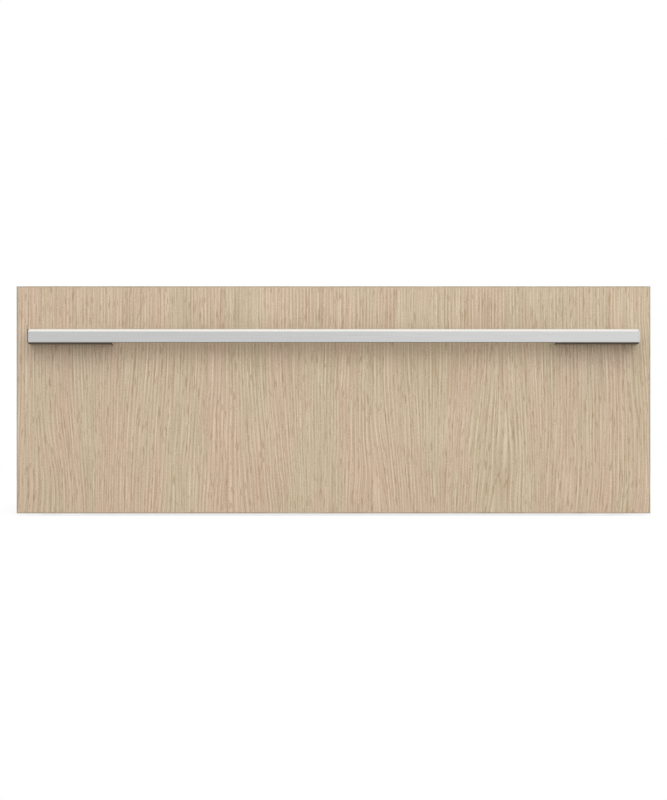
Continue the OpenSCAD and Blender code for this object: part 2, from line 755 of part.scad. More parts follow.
module control_fascia() seated() color("black") difference() {
    union() {
        span([-strip_x, strip_x], [strip_face, ledge_y], strip_z);
        span([-strip_x + 7.2, strip_x - 7.2], [ledge_y, 38], [strip_z[0] + 3.2, strip_z[1] - 3.2]);
        mirrored() for (z = [strip_mid - 7, strip_mid + 7])
            rod_y(1.2, strip_x - 9, [38, board_y], z);
    }
    span([-strip_x + 11, strip_x - 11], [plate_back, 39], [strip_z[0] + 4.6, strip_z[1] - 4.6]);
    for (x = button_x) span([x - button_size[0] / 2 - 0.3, x + button_size[0] / 2 + 0.3],
        [strip_face - 1, plate_back + 1],
        [strip_mid - button_size[1] / 2 - 0.3, strip_mid + button_size[1] / 2 + 0.3]);
    span([-36.1, 36.1], [strip_face - 1, ledge_y + 0.8], [strip_mid - 7, strip_mid + 7]);
    span([-33, 33], [strip_face, plate_back + 1], [strip_mid - 5, strip_mid + 5]);
}

module display_lens() seated() color("darkslategray")
    span([-36, 36], [strip_face + 0.1, ledge_y + 0.7], [strip_mid - 6.9, strip_mid + 6.9]);

// A push button: cap, collar behind the strip's plate, and the stem that meets its switch
module button(x) seated() color("dimgray") {
    cap = button_size / 2;
    extrude_y([button_face, plate_back + 0.1])
        cut_rectangle([x - cap[0], x + cap[0]], [strip_mid - cap[1], strip_mid + cap[1]], 1);
    span([x - cap[0] - 1.5, x + cap[0] + 1.5], [plate_back + 0.1, plate_back + 1.3],
        [strip_mid - cap[1] - 1.2, strip_mid + cap[1] + 1.2]);
    rod_y(2, x, [plate_back + 1.3, switch_face - button_travel - 0.1], strip_mid);
}

module button_power() button(button_x[0]);

module button_heat() button(button_x[1]);

module button_timer() button(button_x[2]);

module control_board() seated() color("darkgreen") {
    span([-strip_x + 8, strip_x - 8], [board_y, board_y + 1.6], strip_z);
    for (x = button_x) {
        span([x - 3, x + 3], [board_y - 2.5, board_y], [strip_mid - 3, strip_mid + 3]);
        rod_y(1.6, x, [switch_face, board_y - 2.5], strip_mid);
    }
    span([-32, 32], [29, board_y], [strip_mid - 4.8, strip_mid + 4.8]);
    span([-20, 0], [board_y + 1.6, board_y + 3.6], [strip_mid - 7, strip_mid + 7]);
    span([72, 88], [board_y + 1.6, board_y + 8], [strip_mid - 5, strip_mid + 5]);
    for (x = [-70, -50, 20, 40])
        rod_y(3, x, [board_y + 1.6, board_y + 9], strip_mid);
}

module power_board() seated() color("seagreen") {
    y = [533, 534.6];
    span([130, 290], y, [60, 180]);
    for (x = [136, 284], z = [66, 174]) rod_y(2.5, x, [bulkhead_y + t, y[0]], z);
    span([140, 185], [y[1], y[1] + 20], [110, 150]); // transformer
    for (x = [195, 215]) span([x, x + 15], [y[1], y[1] + 16], [120, 148]); // relays
    for (x = [245, 262]) rod_y(6, x, [y[1], y[1] + 18], 135); // capacitors
    span([180, 240], [y[1], y[1] + 14], [64, 78]); // mains terminals
    span([192, 208], [y[1], y[1] + 9], [162, 172]); // plug of the control wire
    span([140, 156], [y[1], y[1] + 9], [82, 90]); // plug of the fan wire
}

module cable_gland() seated() color("black") {
    x = gland_place[0];
    z = gland_place[1];
    difference() {
        union() {
            to_back(x, chassis_d, z) cylinder(r = 12, h = 5, $fn = 6);
            rod_y(9.5, x, [chassis_d + 5, chassis_d + gland_proud], z);
            rod_y(7.8, x, [rear_in - 11, chassis_d], z);
            to_back(x, rear_in - 6, z) cylinder(r = 12, h = 6, $fn = 6);
        }
        rod_y(gland_bore_r, x, [rear_in - 12, chassis_d + gland_proud + 1], z);
    }
}

// Wires that stay in the casing: to the controls, the fan, the heater and the cut-out
module wiring_loom() seated() color("white") {
    left = leg_place(-1);
    right = leg_place(1);
    y = 545;
    wire([[200, 540, 172], [200, 540, 240], [200, 70, 240], [80, 70, 240], [80, 48, 240]], 2.5, 6);
    wire([[148, 543.6, 86], [148, 552, 86], [17, 552, 86]], 1.2, 3.5);
    wire([[180, y, 71], [120, y, 71], [120, y, right[1] - 12], [right[0], y, right[1] - 12],
        [right[0], y, right[1]], [right[0], 540, right[1]]], 1.5, 3.5);
    wire([[left[0], 540, left[1]], [left[0], y, left[1]], [-116, y, left[1]], [-116, y, 150],
        [-116, 538.2, 150]], 1.5, 3.5);
    wire([[-124, 538.2, 150], [-124, y, 150], [-124, y, 195], [202, y, 195], [202, y, 148]], 1.2, 3.5);
}

front_panel();
handle_bar();
handle_block_left();
handle_block_right();
handle_screws();
front_carrier();
front_insulation();
panel_screws();
drawer_gasket();
drawer_base();
drawer_side_left();
drawer_side_right();
drawer_back();
drawer_mat();
runner_inner_left();
runner_inner_right();
drawer_rivets();
runner_mid_left();
runner_mid_right();
ball_cage_outer_left();
ball_cage_outer_right();
ball_cage_inner_left();
ball_cage_inner_right();
runner_outer_left();
runner_outer_right();
chassis_rivets();
base_pan();
glide_feet();
side_wall_left();
side_wall_right();
top_cover();
rear_cover();
cover_screws();
front_jamb_left();
front_jamb_right();
front_top_rail();
front_sill();
cavity_floor();
cavity_ceiling();
cavity_side_left();
cavity_side_right();
insulation_boards();
air_baffle();
bulkhead();
heater_element();
fan_wheel();
fan_shaft();
motor_core();
motor_coil();
thermal_cutout();
temperature_probe();
control_fascia();
display_lens();
button_power();
button_heat();
button_timer();
control_board();
power_board();
cable_gland();
wiring_loom();
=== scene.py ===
import math
from functools import partial

import bmesh
import bpy
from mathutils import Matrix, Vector


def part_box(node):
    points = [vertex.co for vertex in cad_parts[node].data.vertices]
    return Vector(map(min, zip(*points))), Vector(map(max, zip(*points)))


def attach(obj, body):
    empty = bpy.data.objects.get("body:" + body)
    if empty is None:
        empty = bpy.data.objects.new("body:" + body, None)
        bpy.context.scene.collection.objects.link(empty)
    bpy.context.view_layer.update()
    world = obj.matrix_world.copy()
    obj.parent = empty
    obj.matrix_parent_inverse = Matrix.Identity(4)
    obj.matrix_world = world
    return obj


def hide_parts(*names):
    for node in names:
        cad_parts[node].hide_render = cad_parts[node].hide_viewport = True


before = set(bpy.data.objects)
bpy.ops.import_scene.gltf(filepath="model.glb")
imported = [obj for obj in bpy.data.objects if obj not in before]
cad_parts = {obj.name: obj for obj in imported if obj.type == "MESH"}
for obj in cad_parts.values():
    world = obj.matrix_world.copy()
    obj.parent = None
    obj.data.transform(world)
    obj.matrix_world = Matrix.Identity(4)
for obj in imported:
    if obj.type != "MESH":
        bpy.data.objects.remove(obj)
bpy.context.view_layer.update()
MM = 0.001

# ---------- Camera ----------
# A long lens, square to the front and level with its middle, so far off that the panel is
# 634 pixels wide in a picture of 667 by 800.
panel_low, panel_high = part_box("front_panel")
picture_height = 800
panel_in_picture = 633.8
lens = 135
sensor = 36
field_height = (panel_high.x - panel_low.x) * picture_height / panel_in_picture
camera_distance = field_height * lens / sensor
camera_lowered = 0.2 * MM
camera_data = bpy.data.cameras.new("camera")
camera_data.lens = lens
camera_data.sensor_width = sensor
camera_data.clip_start = 0.1
camera_data.clip_end = 60
camera = bpy.data.objects.new("camera", camera_data)
bpy.context.scene.collection.objects.link(camera)
camera.location = (0, panel_low.y - camera_distance,
                   (panel_low.z + panel_high.z) / 2 - camera_lowered)
camera.rotation_euler = (math.radians(90), 0, 0)
bpy.context.scene.camera = camera
bpy.context.scene.view_settings.view_transform = "Standard"

# ---------- Floor and light ----------
# A white studio: a pale floor that runs out into white under an even sky. Wide soft lamps in
# front and behind light the surfaces but stay out of the sheen of metal. Weak ones to the right,
# at the side and behind show in the sheen only, and a warm one overhead does both.


def linear(hex_colour):
    """The linear colour of an sRGB hex value such as "C7B399"."""
    parts = [int(hex_colour[i:i + 2], 16) / 255 for i in (0, 2, 4)]
    parts = [p / 12.92 if p <= 0.04045 else ((p + 0.055) / 1.055) ** 2.4 for p in parts]
    return (*parts, 1.0)


def feed(node, inputs):
    """Sets a node's inputs, each to a value or linked to a socket or to a node's first output."""
    for name, value in inputs.items():
        if isinstance(value, bpy.types.Node):
            value = value.outputs[0]
        if isinstance(value, bpy.types.NodeSocket):
            node.id_data.links.new(value, node.inputs[name])
        else:
            node.inputs[name].default_value = value


def add_node(tree, kind, inputs=None, stops=(), **settings):
    """Adds a shader node with its settings, its inputs and, for a colour ramp, its stops."""
    node = tree.nodes.new("ShaderNode" + kind)
    for name, value in settings.items():
        setattr(node, name, value)
    if stops:
        ramp = node.color_ramp.elements
        ramp[0].position, ramp[0].color = stops[0]
        ramp[1].position, ramp[1].color = stops[-1]
        for position, colour in stops[1:-1]:
            ramp.new(position).color = colour
    feed(node, inputs or {})
    return node


def new_material(name):
    """A material, the function that adds its nodes, its shader and its Object coordinates."""
    made = bpy.data.materials.new(name)
    made.use_nodes = True
    add = partial(add_node, made.node_tree)
    return made, add, made.node_tree.nodes["Principled BSDF"], add("TexCoord").outputs["Object"]


def seen_directly(add):
    """A node that gives 1 where the camera, a mirror or a clear piece looks at the surface."""
    path = add("LightPath")
    either = add("Math", {0: path.outputs["Is Camera Ray"], 1: path.outputs["Is Glossy Ray"]},
                 operation="MAXIMUM")
    return add("Math", {0: either, 1: path.outputs["Is Transmission Ray"]}, operation="MAXIMUM")


floor_size = 40
white_from = 0.9
white_beyond = 2.2
bpy.ops.object.select_all(action="DESELECT")
bpy.ops.mesh.primitive_plane_add(size=floor_size, location=(0, 0, 0))
floor = bpy.context.object
floor.name = "floor"
floor_paint, add, bounce, place = new_material("white_studio_floor")
feed(bounce, {"Base Color": linear("CFCFCF"), "Roughness": 1.0, "Specular IOR Level": 0.0})
shaded = add("BsdfDiffuse", {"Color": linear("AAAAAA")})
glow = add("Emission", {"Color": (1, 1, 1, 1), "Strength": 0.74})
near = add("AddShader", {0: shaded, 1: glow})
far = add("Emission", {"Color": (1, 1, 1, 1), "Strength": 1.0})
reach = add("VectorMath", {0: place}, operation="LENGTH").outputs["Value"]
fade = add("MapRange", {"Value": reach, "From Min": white_from, "From Max": white_beyond},
           interpolation_type="SMOOTHSTEP")
looked_at = add("MixShader", {0: fade, 1: near, 2: far})
floor_mix = add("MixShader", {0: seen_directly(add), 1: bounce, 2: looked_at})
feed(floor_paint.node_tree.nodes["Material Output"], {"Surface": floor_mix})
floor.data.materials.append(floor_paint)

sky = bpy.data.worlds.new("studio_sky")
bpy.context.scene.world = sky
sky.use_nodes = True
add = partial(add_node, sky.node_tree)
sky_light = sky.node_tree.nodes["Background"]
feed(sky_light, {"Color": (0.95, 0.975, 1.0, 1), "Strength": 0.38})
sky_white = add("Background", {"Color": (1, 1, 1, 1), "Strength": 1.0})
sky_mix = add("MixShader", {0: seen_directly(add), 1: sky_light, 2: sky_white})
feed(sky.node_tree.nodes["World Output"], {"Surface": sky_mix})


def soft_lamp(name, place, target, width, height, power, colour, lights=True, in_sheen=True):
    """A rectangular soft lamp of that size, turned to shine on the target. It lights surfaces, or
    shows in the sheen of metal, or both."""
    data = bpy.data.lights.new(name, "AREA")
    data.shape = "RECTANGLE"
    data.size = width
    data.size_y = height
    data.energy = power
    data.color = colour
    lamp = bpy.data.objects.new(name, data)
    bpy.context.scene.collection.objects.link(lamp)
    lamp.visible_diffuse = lights
    lamp.visible_glossy = in_sheen
    lamp.location = place
    lamp.rotation_euler = (Vector(target) - Vector(place)).to_track_quat("-Z", "Y").to_euler()


front_middle = (0, panel_low.y, camera.location.z)
rear_middle = (0, 0, 0.1)
rear_place = (0.5, 3.4, 1.9)
white = (1.0, 1.0, 1.0)
warm = (1.0, 0.88, 0.72)
soft_lamp("lamp_front", (0.15, -3.0, 1.4), front_middle, 3.4, 2.6, 63, white, in_sheen=False)
soft_lamp("lamp_right", (0.9, -2.6, 0.52), (0.9, 0, 0.52), 1.5, 1.0, 1.4, white, lights=False)
soft_lamp("lamp_side", (2.6, -0.4, 0.5), front_middle, 1.0, 0.9, 1.2, white, lights=False)
soft_lamp("lamp_above", (0.0, -0.9, 2.6), front_middle, 4.0, 2.0, 20, warm)
soft_lamp("lamp_behind", rear_place, rear_middle, 3.4, 2.0, 50, white, in_sheen=False)
soft_lamp("lamp_rear_sheen", rear_place, rear_middle, 3.4, 2.0, 14, white, lights=False)

# ---------- Front panel ----------
# A board of the kitchen's own fronts: fibreboard faced with straight-grained oak veneer under
# a clear matt lacquer. The grain runs upright. Its four edges carry glued strips of the same
# veneer, and it is drilled from the back for the handle and for the drawer's screws.


def oak_veneer(name, turn, dark, middle, light):
    """Oak veneer in fine upright lines, turned about Y by an angle in degrees."""
    made, add, shader, place = new_material(name)
    upright = add("Mapping", {"Vector": place, "Rotation": (0, math.radians(turn), 0)})
    x, y, z = add("SeparateXYZ", {0: upright}).outputs

    def streaks(source, width, length, detail, layer):
        """Noise drawn out upright, in streaks of that width and length in millimetres."""
        across, along = 1 / (width * MM), 1 / (length * MM)
        scaled = add("Mapping", {"Vector": source, "Location": (0, layer, 0),
                                 "Scale": (across, across, along)})
        noise = add("TexNoise", {"Vector": scaled, "Scale": 1.0, "Detail": detail})
        return add("Math", {0: noise, 1: 0.5}, operation="SUBTRACT")

    # The lines stand straight at the panel's top, and lean and wander more and more further down
    lean = streaks(upright, 80, 420, 0.0, 5.0)
    sway = streaks(upright, 26, 75, 0.0, 2.0)
    wander = add("Math", {0: sway, 1: 0.14, 2: lean}, operation="MULTIPLY_ADD")
    depth = add("MapRange", {"Value": z, "From Min": 0.235, "From Max": 0.0, "To Max": 0.05})
    across = add("Math", {0: wander, 1: depth, 2: x}, operation="MULTIPLY_ADD")
    grain = add("CombineXYZ", {"X": across, "Y": y, "Z": z})
    # Growth lines about 4 mm apart, nearly even
    spacing = 4.05 * MM
    phase = add("Math", {0: streaks(grain, 11, 300, 1.0, 3.0), 1: 5.0}, operation="MULTIPLY")
    turns = add("Math", {0: across, 1: 2 * math.pi / spacing, 2: phase}, operation="MULTIPLY_ADD")
    lines = add("Math", {0: turns}, operation="SINE")
    tone = add("Math", {0: lines, 1: 0.095, 2: 0.5}, operation="MULTIPLY_ADD")
    for level, weight in ((streaks(grain, 0.9, 70, 0.0, 0.0), 0.85),
                          (streaks(grain, 6, 110, 1.0, 7.0), 0.03),
                          (streaks(grain, 34, 260, 1.0, 11.0), 0.04),
                          (streaks(upright, 1.4, 2.2, 0.0, 13.0), 0.33)):
        tone = add("Math", {0: level, 1: weight, 2: tone}, operation="MULTIPLY_ADD")
    ramp = add("ValToRGB", {"Fac": tone}, ((0.0, linear(dark)), (0.5, linear(middle)),
                                           (1.0, linear(light))))
    # Bands of pinkish and of greenish beige
    band = streaks(grain, 30, 190, 2.0, 19.0)
    hue = add("MapRange", {"Value": band, "From Min": -0.13, "From Max": 0.13})
    tint = add("MixRGB", {"Fac": hue, "Color1": linear("FFFBFA"), "Color2": linear("FBFFF9")})
    coloured = add("MixRGB", {"Fac": 1.0, "Color1": ramp, "Color2": tint}, blend_type="MULTIPLY")
    # Pores: dark dashes about a millimetre wide and 12 long
    dashes = streaks(grain, 1.3, 13, 0.0, 23.0)
    pores = add("MapRange", {"Value": dashes, "From Min": 0.14, "From Max": 0.26, "To Max": 0.55})
    pored = add("MixRGB", {"Fac": pores, "Color1": coloured, "Color2": linear("A58B6B")})
    relief = add("Math", {0: tone, 1: pores}, operation="SUBTRACT")
    bump = add("Bump", {"Height": relief, "Distance": 0.1 * MM, "Strength": 0.4})
    feed(shader, {"Base Color": pored, "Roughness": 0.55, "Specular IOR Level": 0.3,
                  "Normal": bump})
    return made


# The face is pale and open-grained; the strips on the edges are a shade darker, as painted shade on
# the rounded arrises
oak_upright = oak_veneer("oak_veneer_matt_lacquer", 0, "A78F73", "CBB7A0", "E8D9C5")
oak_strip_painted_shade_upright = oak_veneer("oak_edge_strip_upright", 0, "8C7D6C", "AEA092", "CABFB2")
oak_strip_painted_shade_level = oak_veneer("oak_edge_strip_level", 90, "8C7D6C", "AEA090", "CABFAE")
chassis_front = -257.5
smooth_below = math.radians(35)


def at(x, y, z):
    """A point in metres. The millimetres given count y from the front edge of the chassis."""
    return Vector((x, y + chassis_front, z)) * MM


def open_new(name, made):
    """Applies a new primitive's place, names it, gives it its material and opens it to edit."""
    bpy.ops.object.transform_apply()
    piece = bpy.context.object
    piece.name = name
    piece.data.materials.append(made)
    bpy.ops.object.mode_set(mode="EDIT")
    return piece


def open_box(name, low, high, made):
    """A box between two corners, left open in edit mode."""
    bpy.ops.object.select_all(action="DESELECT")
    low, high = Vector(low), Vector(high)
    bpy.ops.mesh.primitive_cube_add(size=1, location=(low + high) / 2, scale=high - low)
    return open_new(name, made)


def pick(piece, kind, wanted):
    """Picks the open piece's faces or edges for which wanted(face or edge) is true, and no others."""
    bpy.ops.mesh.select_mode(type=kind)
    bpy.ops.mesh.select_all(action="DESELECT")
    held = bmesh.from_edit_mesh(piece.data)
    for part in held.faces if kind == "FACE" else held.edges:
        if wanted(part):
            part.select_set(True)
    bmesh.update_edit_mesh(piece.data)


def pick_ends(piece, wanted, also=lambda edge: True):
    """Picks the open piece's edges with both ends where wanted(place) is true."""
    pick(piece, "EDGE", lambda edge: all(wanted(end.co) for end in edge.verts) and also(edge))


def sharp(edge):
    """Whether an edge's two faces meet at more than a radian."""
    return edge.calc_face_angle(0) > 1


def round_picked(radius, steps=3):
    """Rounds the picked edges to a radius in millimetres, or cuts them flat with one step."""
    bpy.ops.mesh.bevel(offset=radius * MM, offset_type="OFFSET", segments=steps, affect="EDGES",
                       clamp_overlap=True)


def paint_picked(piece, made):
    """Gives the picked faces another material."""
    piece.data.materials.append(made)
    piece.active_material_index = len(piece.data.materials) - 1
    bpy.ops.object.material_slot_assign()


def close_piece():
    """Leaves edit mode with the piece's faces turned outwards."""
    bpy.ops.mesh.select_all(action="SELECT")
    bpy.ops.mesh.normals_make_consistent(inside=False)
    bpy.ops.object.mode_set(mode="OBJECT")


def take(piece, *others):
    """Selects a piece and any others, and nothing else. The piece is the active one."""
    bpy.ops.object.select_all(action="DESELECT")
    for each in (piece, *others):
        each.select_set(True)
    bpy.context.view_layer.objects.active = piece


def apply_modifier(piece, kind, **settings):
    """Adds a modifier with its settings and applies it."""
    take(piece)
    modifier = piece.modifiers.new("work", kind)
    for name, value in settings.items():
        setattr(modifier, name, value)
    bpy.ops.object.modifier_apply(modifier="work")


def join_to(piece, others):
    """Makes other parts one piece with the first, with their materials."""
    take(piece, *others)
    bpy.ops.object.join()


def combine(piece, others, operation="UNION"):
    """Adds other closed pieces to a piece, or cuts them out of it ("DIFFERENCE")."""
    tool = others[0]
    if len(others) > 1:
        join_to(tool, others[1:])
    apply_modifier(piece, "BOOLEAN", operation=operation, solver="EXACT", object=tool)
    bpy.data.objects.remove(tool)


def drill(piece, holes, sides=24):
    """Cuts holes in a closed piece. Each is its two end points and its radius in millimetres."""
    bits = []
    for start, end, radius in holes:
        way = end - start
        bpy.ops.mesh.primitive_cylinder_add(vertices=sides, radius=radius * MM, depth=way.length,
                                            location=(start + end) / 2,
                                            rotation=way.to_track_quat("Z", "Y").to_euler())
        bits.append(bpy.context.object)
    combine(piece, bits, "DIFFERENCE")


def bore(piece, places, y_from, y_to, radius, sides=24):
    """Drills holes that run front to back. Each place is its x and z, all in millimetres."""
    drill(piece, [(at(x, y_from, z), at(x, y_to, z), radius) for x, z in places], sides)


def fit(piece, body, slot_name, *node_names):
    """Shades a finished piece and puts it in its CAD nodes' stead, on their body."""
    take(piece)
    bpy.ops.object.shade_smooth_by_angle(angle=smooth_below)
    apply_modifier(piece, "WEIGHTED_NORMAL", keep_sharp=True)
    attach(piece, body)
    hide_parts(*node_names)


arris = 0.55
edge_zone = arris * MM / 2
strip_thickness = 1.2 * MM
board = open_box("front_panel_board", panel_low, panel_high, oak_upright)
pick(board, "FACE", lambda face: abs(face.normal.y) > 0.9)
bpy.ops.mesh.inset(thickness=strip_thickness, use_individual=True)
pick_ends(board, lambda end: abs(end.x) > panel_high.x - edge_zone
          or end.z > panel_high.z - edge_zone or end.z < panel_low.z + edge_zone, sharp)
round_picked(arris)
inner_x = panel_high.x - strip_thickness
inner_half_z = (panel_high.z - panel_low.z) / 2 - strip_thickness
# The edge strips and their rounded arrises take the painted shade
pick(board, "FACE", lambda face: abs(face.calc_center_median().x) > inner_x)
paint_picked(board, oak_strip_painted_shade_upright)
pick(board, "FACE", lambda face: abs(face.calc_center_median().x) < inner_x
     and abs(face.calc_center_median().z - camera.location.z) > inner_half_z)
paint_picked(board, oak_strip_painted_shade_level)
close_piece()

bar_low, bar_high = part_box("handle_bar")
bar_z = (bar_low.z + bar_high.z) / 2 / MM
handle_screws = [(x, bar_z) for x in (-344.5, -284.5, 284.5, 344.5)]
panel_screws = [(x, z) for x in (-300, -130, 130, 300) for z in (50, 244)]
bore(board, handle_screws, -9, 0, 6)
bore(board, handle_screws, -30, -5, 2.75)
bore(board, panel_screws, -17.5, 0, 2)
fit(board, "drawer", "oak_veneer", "front_panel")

# ---------- Handle ----------
# A solid stainless bar and two end blocks, brushed along their length. The bar's top front edge
# is planed to a slope. Its underside and its left end's chamfer carry painted shade, dark and dull,
# and the blocks' undersides carry a painted shadow, nearly black. Two machine screws hold each end.


def brushed_metal(name, colour, roughness, brush_axis, width, contrast=0.06, metallic=1.0):
    """Brushed metal: streaks of that width in millimetres along one axis, in tone, sheen and
    relief. Real ones are about 0.1 mm wide and would not show, so they are drawn coarser."""
    made, add, shader, place = new_material(name)
    fine_scale = 1 / (width * MM)
    scale = [fine_scale / 120 if axis == brush_axis else fine_scale for axis in "XYZ"]
    scaled = add("Mapping", {"Vector": place, "Scale": scale})
    brush = add("TexNoise", {"Vector": scaled, "Scale": 1.0, "Detail": 2.0})
    handling = add("TexNoise", {"Vector": place, "Scale": 1 / (90 * MM), "Detail": 3.0})
    base = Vector(linear(colour)[:3])
    ramp = add("ValToRGB", {"Fac": brush}, ((0.3, (*(base * (1 - contrast)), 1)),
                                            (0.7, (*(base * (1 + contrast)), 1))))
    mixed = add("Math", {0: brush, 1: handling}, operation="ADD")
    rough = add("MapRange", {"Value": mixed, "From Min": 0.7, "From Max": 1.3,
                             "To Min": roughness * 0.85, "To Max": roughness * 1.15})
    bump = add("Bump", {"Height": brush, "Distance": 0.03 * MM, "Strength": 0.4})
    feed(shader, {"Base Color": ramp, "Metallic": metallic, "Roughness": rough, "Normal": bump})
    return made


# Brushing leaves faint streaks along the bar and a soft sheen
handle_metal = brushed_metal("handle_brushed_stainless", "C4C5C4", 0.3, "X", 0.5)
# Painted shade: the bar's underside and left end chamfer are coloured darker than its face, with a
# duller sheen
underside_painted_shade = brushed_metal("handle_milled_underside", "6E675F", 0.5, "X", 0.9, 0.12)
# Painted shadow: the blocks' undersides are coloured nearly black, with hardly any sheen
block_underside_painted_shadow = brushed_metal("handle_blackened_underside", "64594F", 0.8, "Y", 0.9, 0.12, 0.4)


def runs(edge, axis, length=2 * MM):
    """Whether an edge is longer than that along an axis, "x", "y" or "z"."""
    return abs(getattr(edge.verts[0].co - edge.verts[1].co, axis)) > length


tiny = 0.05 * MM
slope = 2.9
end_chamfer = 1.3
lower_edge = 0.6
# The photo shows the bar 0.4 mm taller than its CAD node
bar_low.z -= 0.4 * MM
bar = open_box("handle_bar_brushed", bar_low, bar_high, handle_metal)
pick_ends(bar, lambda end: end.y < bar_low.y + tiny, lambda edge: runs(edge, "z"))
round_picked(end_chamfer, 1)
front_y = bar_low.y + end_chamfer * MM + tiny
pick_ends(bar, lambda end: end.y < front_y and end.z > bar_high.z - tiny)
round_picked(slope, 1)
pick_ends(bar, lambda end: end.y < front_y and end.z < bar_low.z + tiny)
round_picked(lower_edge, 4)
pick(bar, "EDGE", lambda edge: edge.calc_face_angle(0) > 0.5)
round_picked(0.4, 2)
# The underside and the left end's chamfer take the painted shade
pick(bar, "FACE", lambda face: face.normal.z < -0.3 or -0.9 < face.normal.x < -0.5)
paint_picked(bar, underside_painted_shade)
close_piece()
bore(bar, handle_screws, -54.5, -45, 2.5)
fit(bar, "drawer", "handle_steel", "handle_bar")


def copy_to(piece, name, shift=(0, 0, 0), scale=(1, 1, 1)):
    """A copy of a finished piece, moved or mirrored, with its own mesh."""
    take(piece)
    bpy.ops.object.duplicate(linked=False)
    twin = bpy.context.object
    twin.name = name
    twin.location = shift
    twin.scale = scale
    bpy.ops.object.transform_apply()
    return twin


def fit_pair(piece, body, slot_name, node_name):
    """Fits a right-hand piece and its mirror image on the left, named and placed to match."""
    twin = copy_to(piece, piece.name.replace("right", "left"), scale=(-1, 1, 1))
    bpy.ops.object.mode_set(mode="EDIT")
    close_piece()
    fit(piece, body, slot_name, node_name)
    fit(twin, body.replace("right", "left"), slot_name, node_name.replace("right", "left"))


block_low, block_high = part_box("handle_block_right")
# The photo shows the blocks 2 mm wider than their nodes, and a dark line 1.8 mm below
# the bar, drawn as the blocks' lower edges in painted shadow
block_low.x -= 2.0 * MM
block_low.z = bar_low.z - 1.8 * MM
block = open_box("handle_block_brushed_right", block_low, block_high, handle_metal)
pick_ends(block, lambda end: end.z < block_low.z + tiny and end.y < block_low.y + tiny)
round_picked(1.7, 1)
pick(block, "EDGE", lambda edge: runs(edge, "y"))
round_picked(0.4, 2)
# The undersides and the lower front chamfer take the painted shadow
pick(block, "FACE", lambda face: face.normal.z < -0.3)
paint_picked(block, block_underside_painted_shadow)
close_piece()
bore(block, handle_screws[2:], -47, -22, 2.75)
fit_pair(block, "drawer", "handle_steel", "handle_block_right")


def plated_metal(name, colours, roughness, patch):
    """Bright plating whose colour drifts between its colours in patches of that size in mm."""
    made, add, shader, place = new_material(name)
    drift = add("TexNoise", {"Vector": place, "Scale": 1 / (patch * MM), "Detail": 3.0})
    low_end, high_end = 0.36, 0.64
    step = (high_end - low_end) / (len(colours) - 1)
    ramp = add("ValToRGB", {"Fac": drift}, [(low_end + number * step, linear(colour))
                                            for number, colour in enumerate(colours)])
    wear = add("TexNoise", {"Vector": place, "Scale": 1 / (2.5 * MM), "Detail": 4.0})
    rough = add("MapRange", {"Value": wear, "From Min": 0.3, "From Max": 0.7,
                             "To Min": roughness * 0.75, "To Max": roughness * 1.25})
    bump = add("Bump", {"Height": wear, "Distance": 0.02 * MM, "Strength": 0.3})
    feed(shader, {"Base Color": ramp, "Metallic": 1.0, "Roughness": rough, "Normal": bump})
    return made


# Zinc plate is smooth and bright, and drifts between grey and bluish grey
screw_zinc = plated_metal("screw_bright_zinc_plate", ("A6A9AD", "B9BCC0", "ADB3BB"), 0.28, 12)


def extrude(way):
    """Draws out what is picked, by that much in metres."""
    bpy.ops.mesh.extrude_region_move(TRANSFORM_OT_translate={"value": way})


def turned(name, start, way, rings, made, sides=24):
    """A round piece built up ring by ring from start along way: each ring is its radius and how far
    along it lies, in millimetres."""
    bpy.ops.object.select_all(action="DESELECT")
    radius, along = rings[0]
    bpy.ops.mesh.primitive_circle_add(vertices=sides, radius=radius * MM, fill_type="NGON",
                                      location=(0, 0, along * MM))
    piece = open_new(name, made)
    bpy.ops.mesh.select_mode(type="FACE")
    bpy.ops.mesh.select_all(action="SELECT")
    for next_radius, next_along in rings[1:]:
        extrude((0, 0, (next_along - along) * MM))
        change = next_radius / radius
        bpy.ops.transform.resize(value=(change, change, 1), center_override=(0, 0, 0))
        radius, along = next_radius, next_along
    close_piece()
    piece.location = start
    piece.rotation_euler = Vector(way).to_track_quat("Z", "Y").to_euler()
    bpy.ops.object.transform_apply()
    return piece


def screw(name, seat, way, head, rise, shank, length, thread, key):
    """A zinc-plated pan-head screw with a hexagon socket. The shank runs along way from the head's
    seat. Head, shank and key are radii, and all is in millimetres."""
    rings = [(head * 0.6, -rise), (head * 0.82, -rise * 0.88), (head * 0.96, -rise * 0.6),
             (head, -rise * 0.25), (head, 0), (shank, 0), (shank, length - thread)]
    pitch = 0.8
    for turn in range(int(thread / pitch) - 1):
        root = length - thread + turn * pitch
        rings += [(shank * 0.86, root + pitch * 0.35), (shank, root + pitch * 0.85)]
    piece = turned(name, seat, way, rings + [(shank * 0.6, length)], screw_zinc)
    way = Vector(way) * MM
    drill(piece, [(seat - way * (rise + 1), seat - way * rise * 0.4, key)], 6)
    return piece


def row(first, places):
    """A finished piece and its copies at the other places, named on from its number 1."""
    return [first] + [copy_to(first, f"{first.name[:-1]}{number}", place - places[0])
                      for number, place in enumerate(places[1:], 2)]


places = [at(x, -9, z) for x, z in handle_screws]
for piece in row(screw("handle_screw_1", places[0], (0, -1, 0), 4.5, 3.5, 2.45, 44.5, 12, 2), places):
    fit(piece, "drawer", "screw_steel", "handle_screws")

# ---------- Drawer front ----------
# Behind the panel is a shallow pressed box of satin stainless sheet, filled with a stiff
# mineral board. Eight long screws hold it to the panel. A moulded silicone bulb seal runs
# round its back, where it meets the cavity's frame.


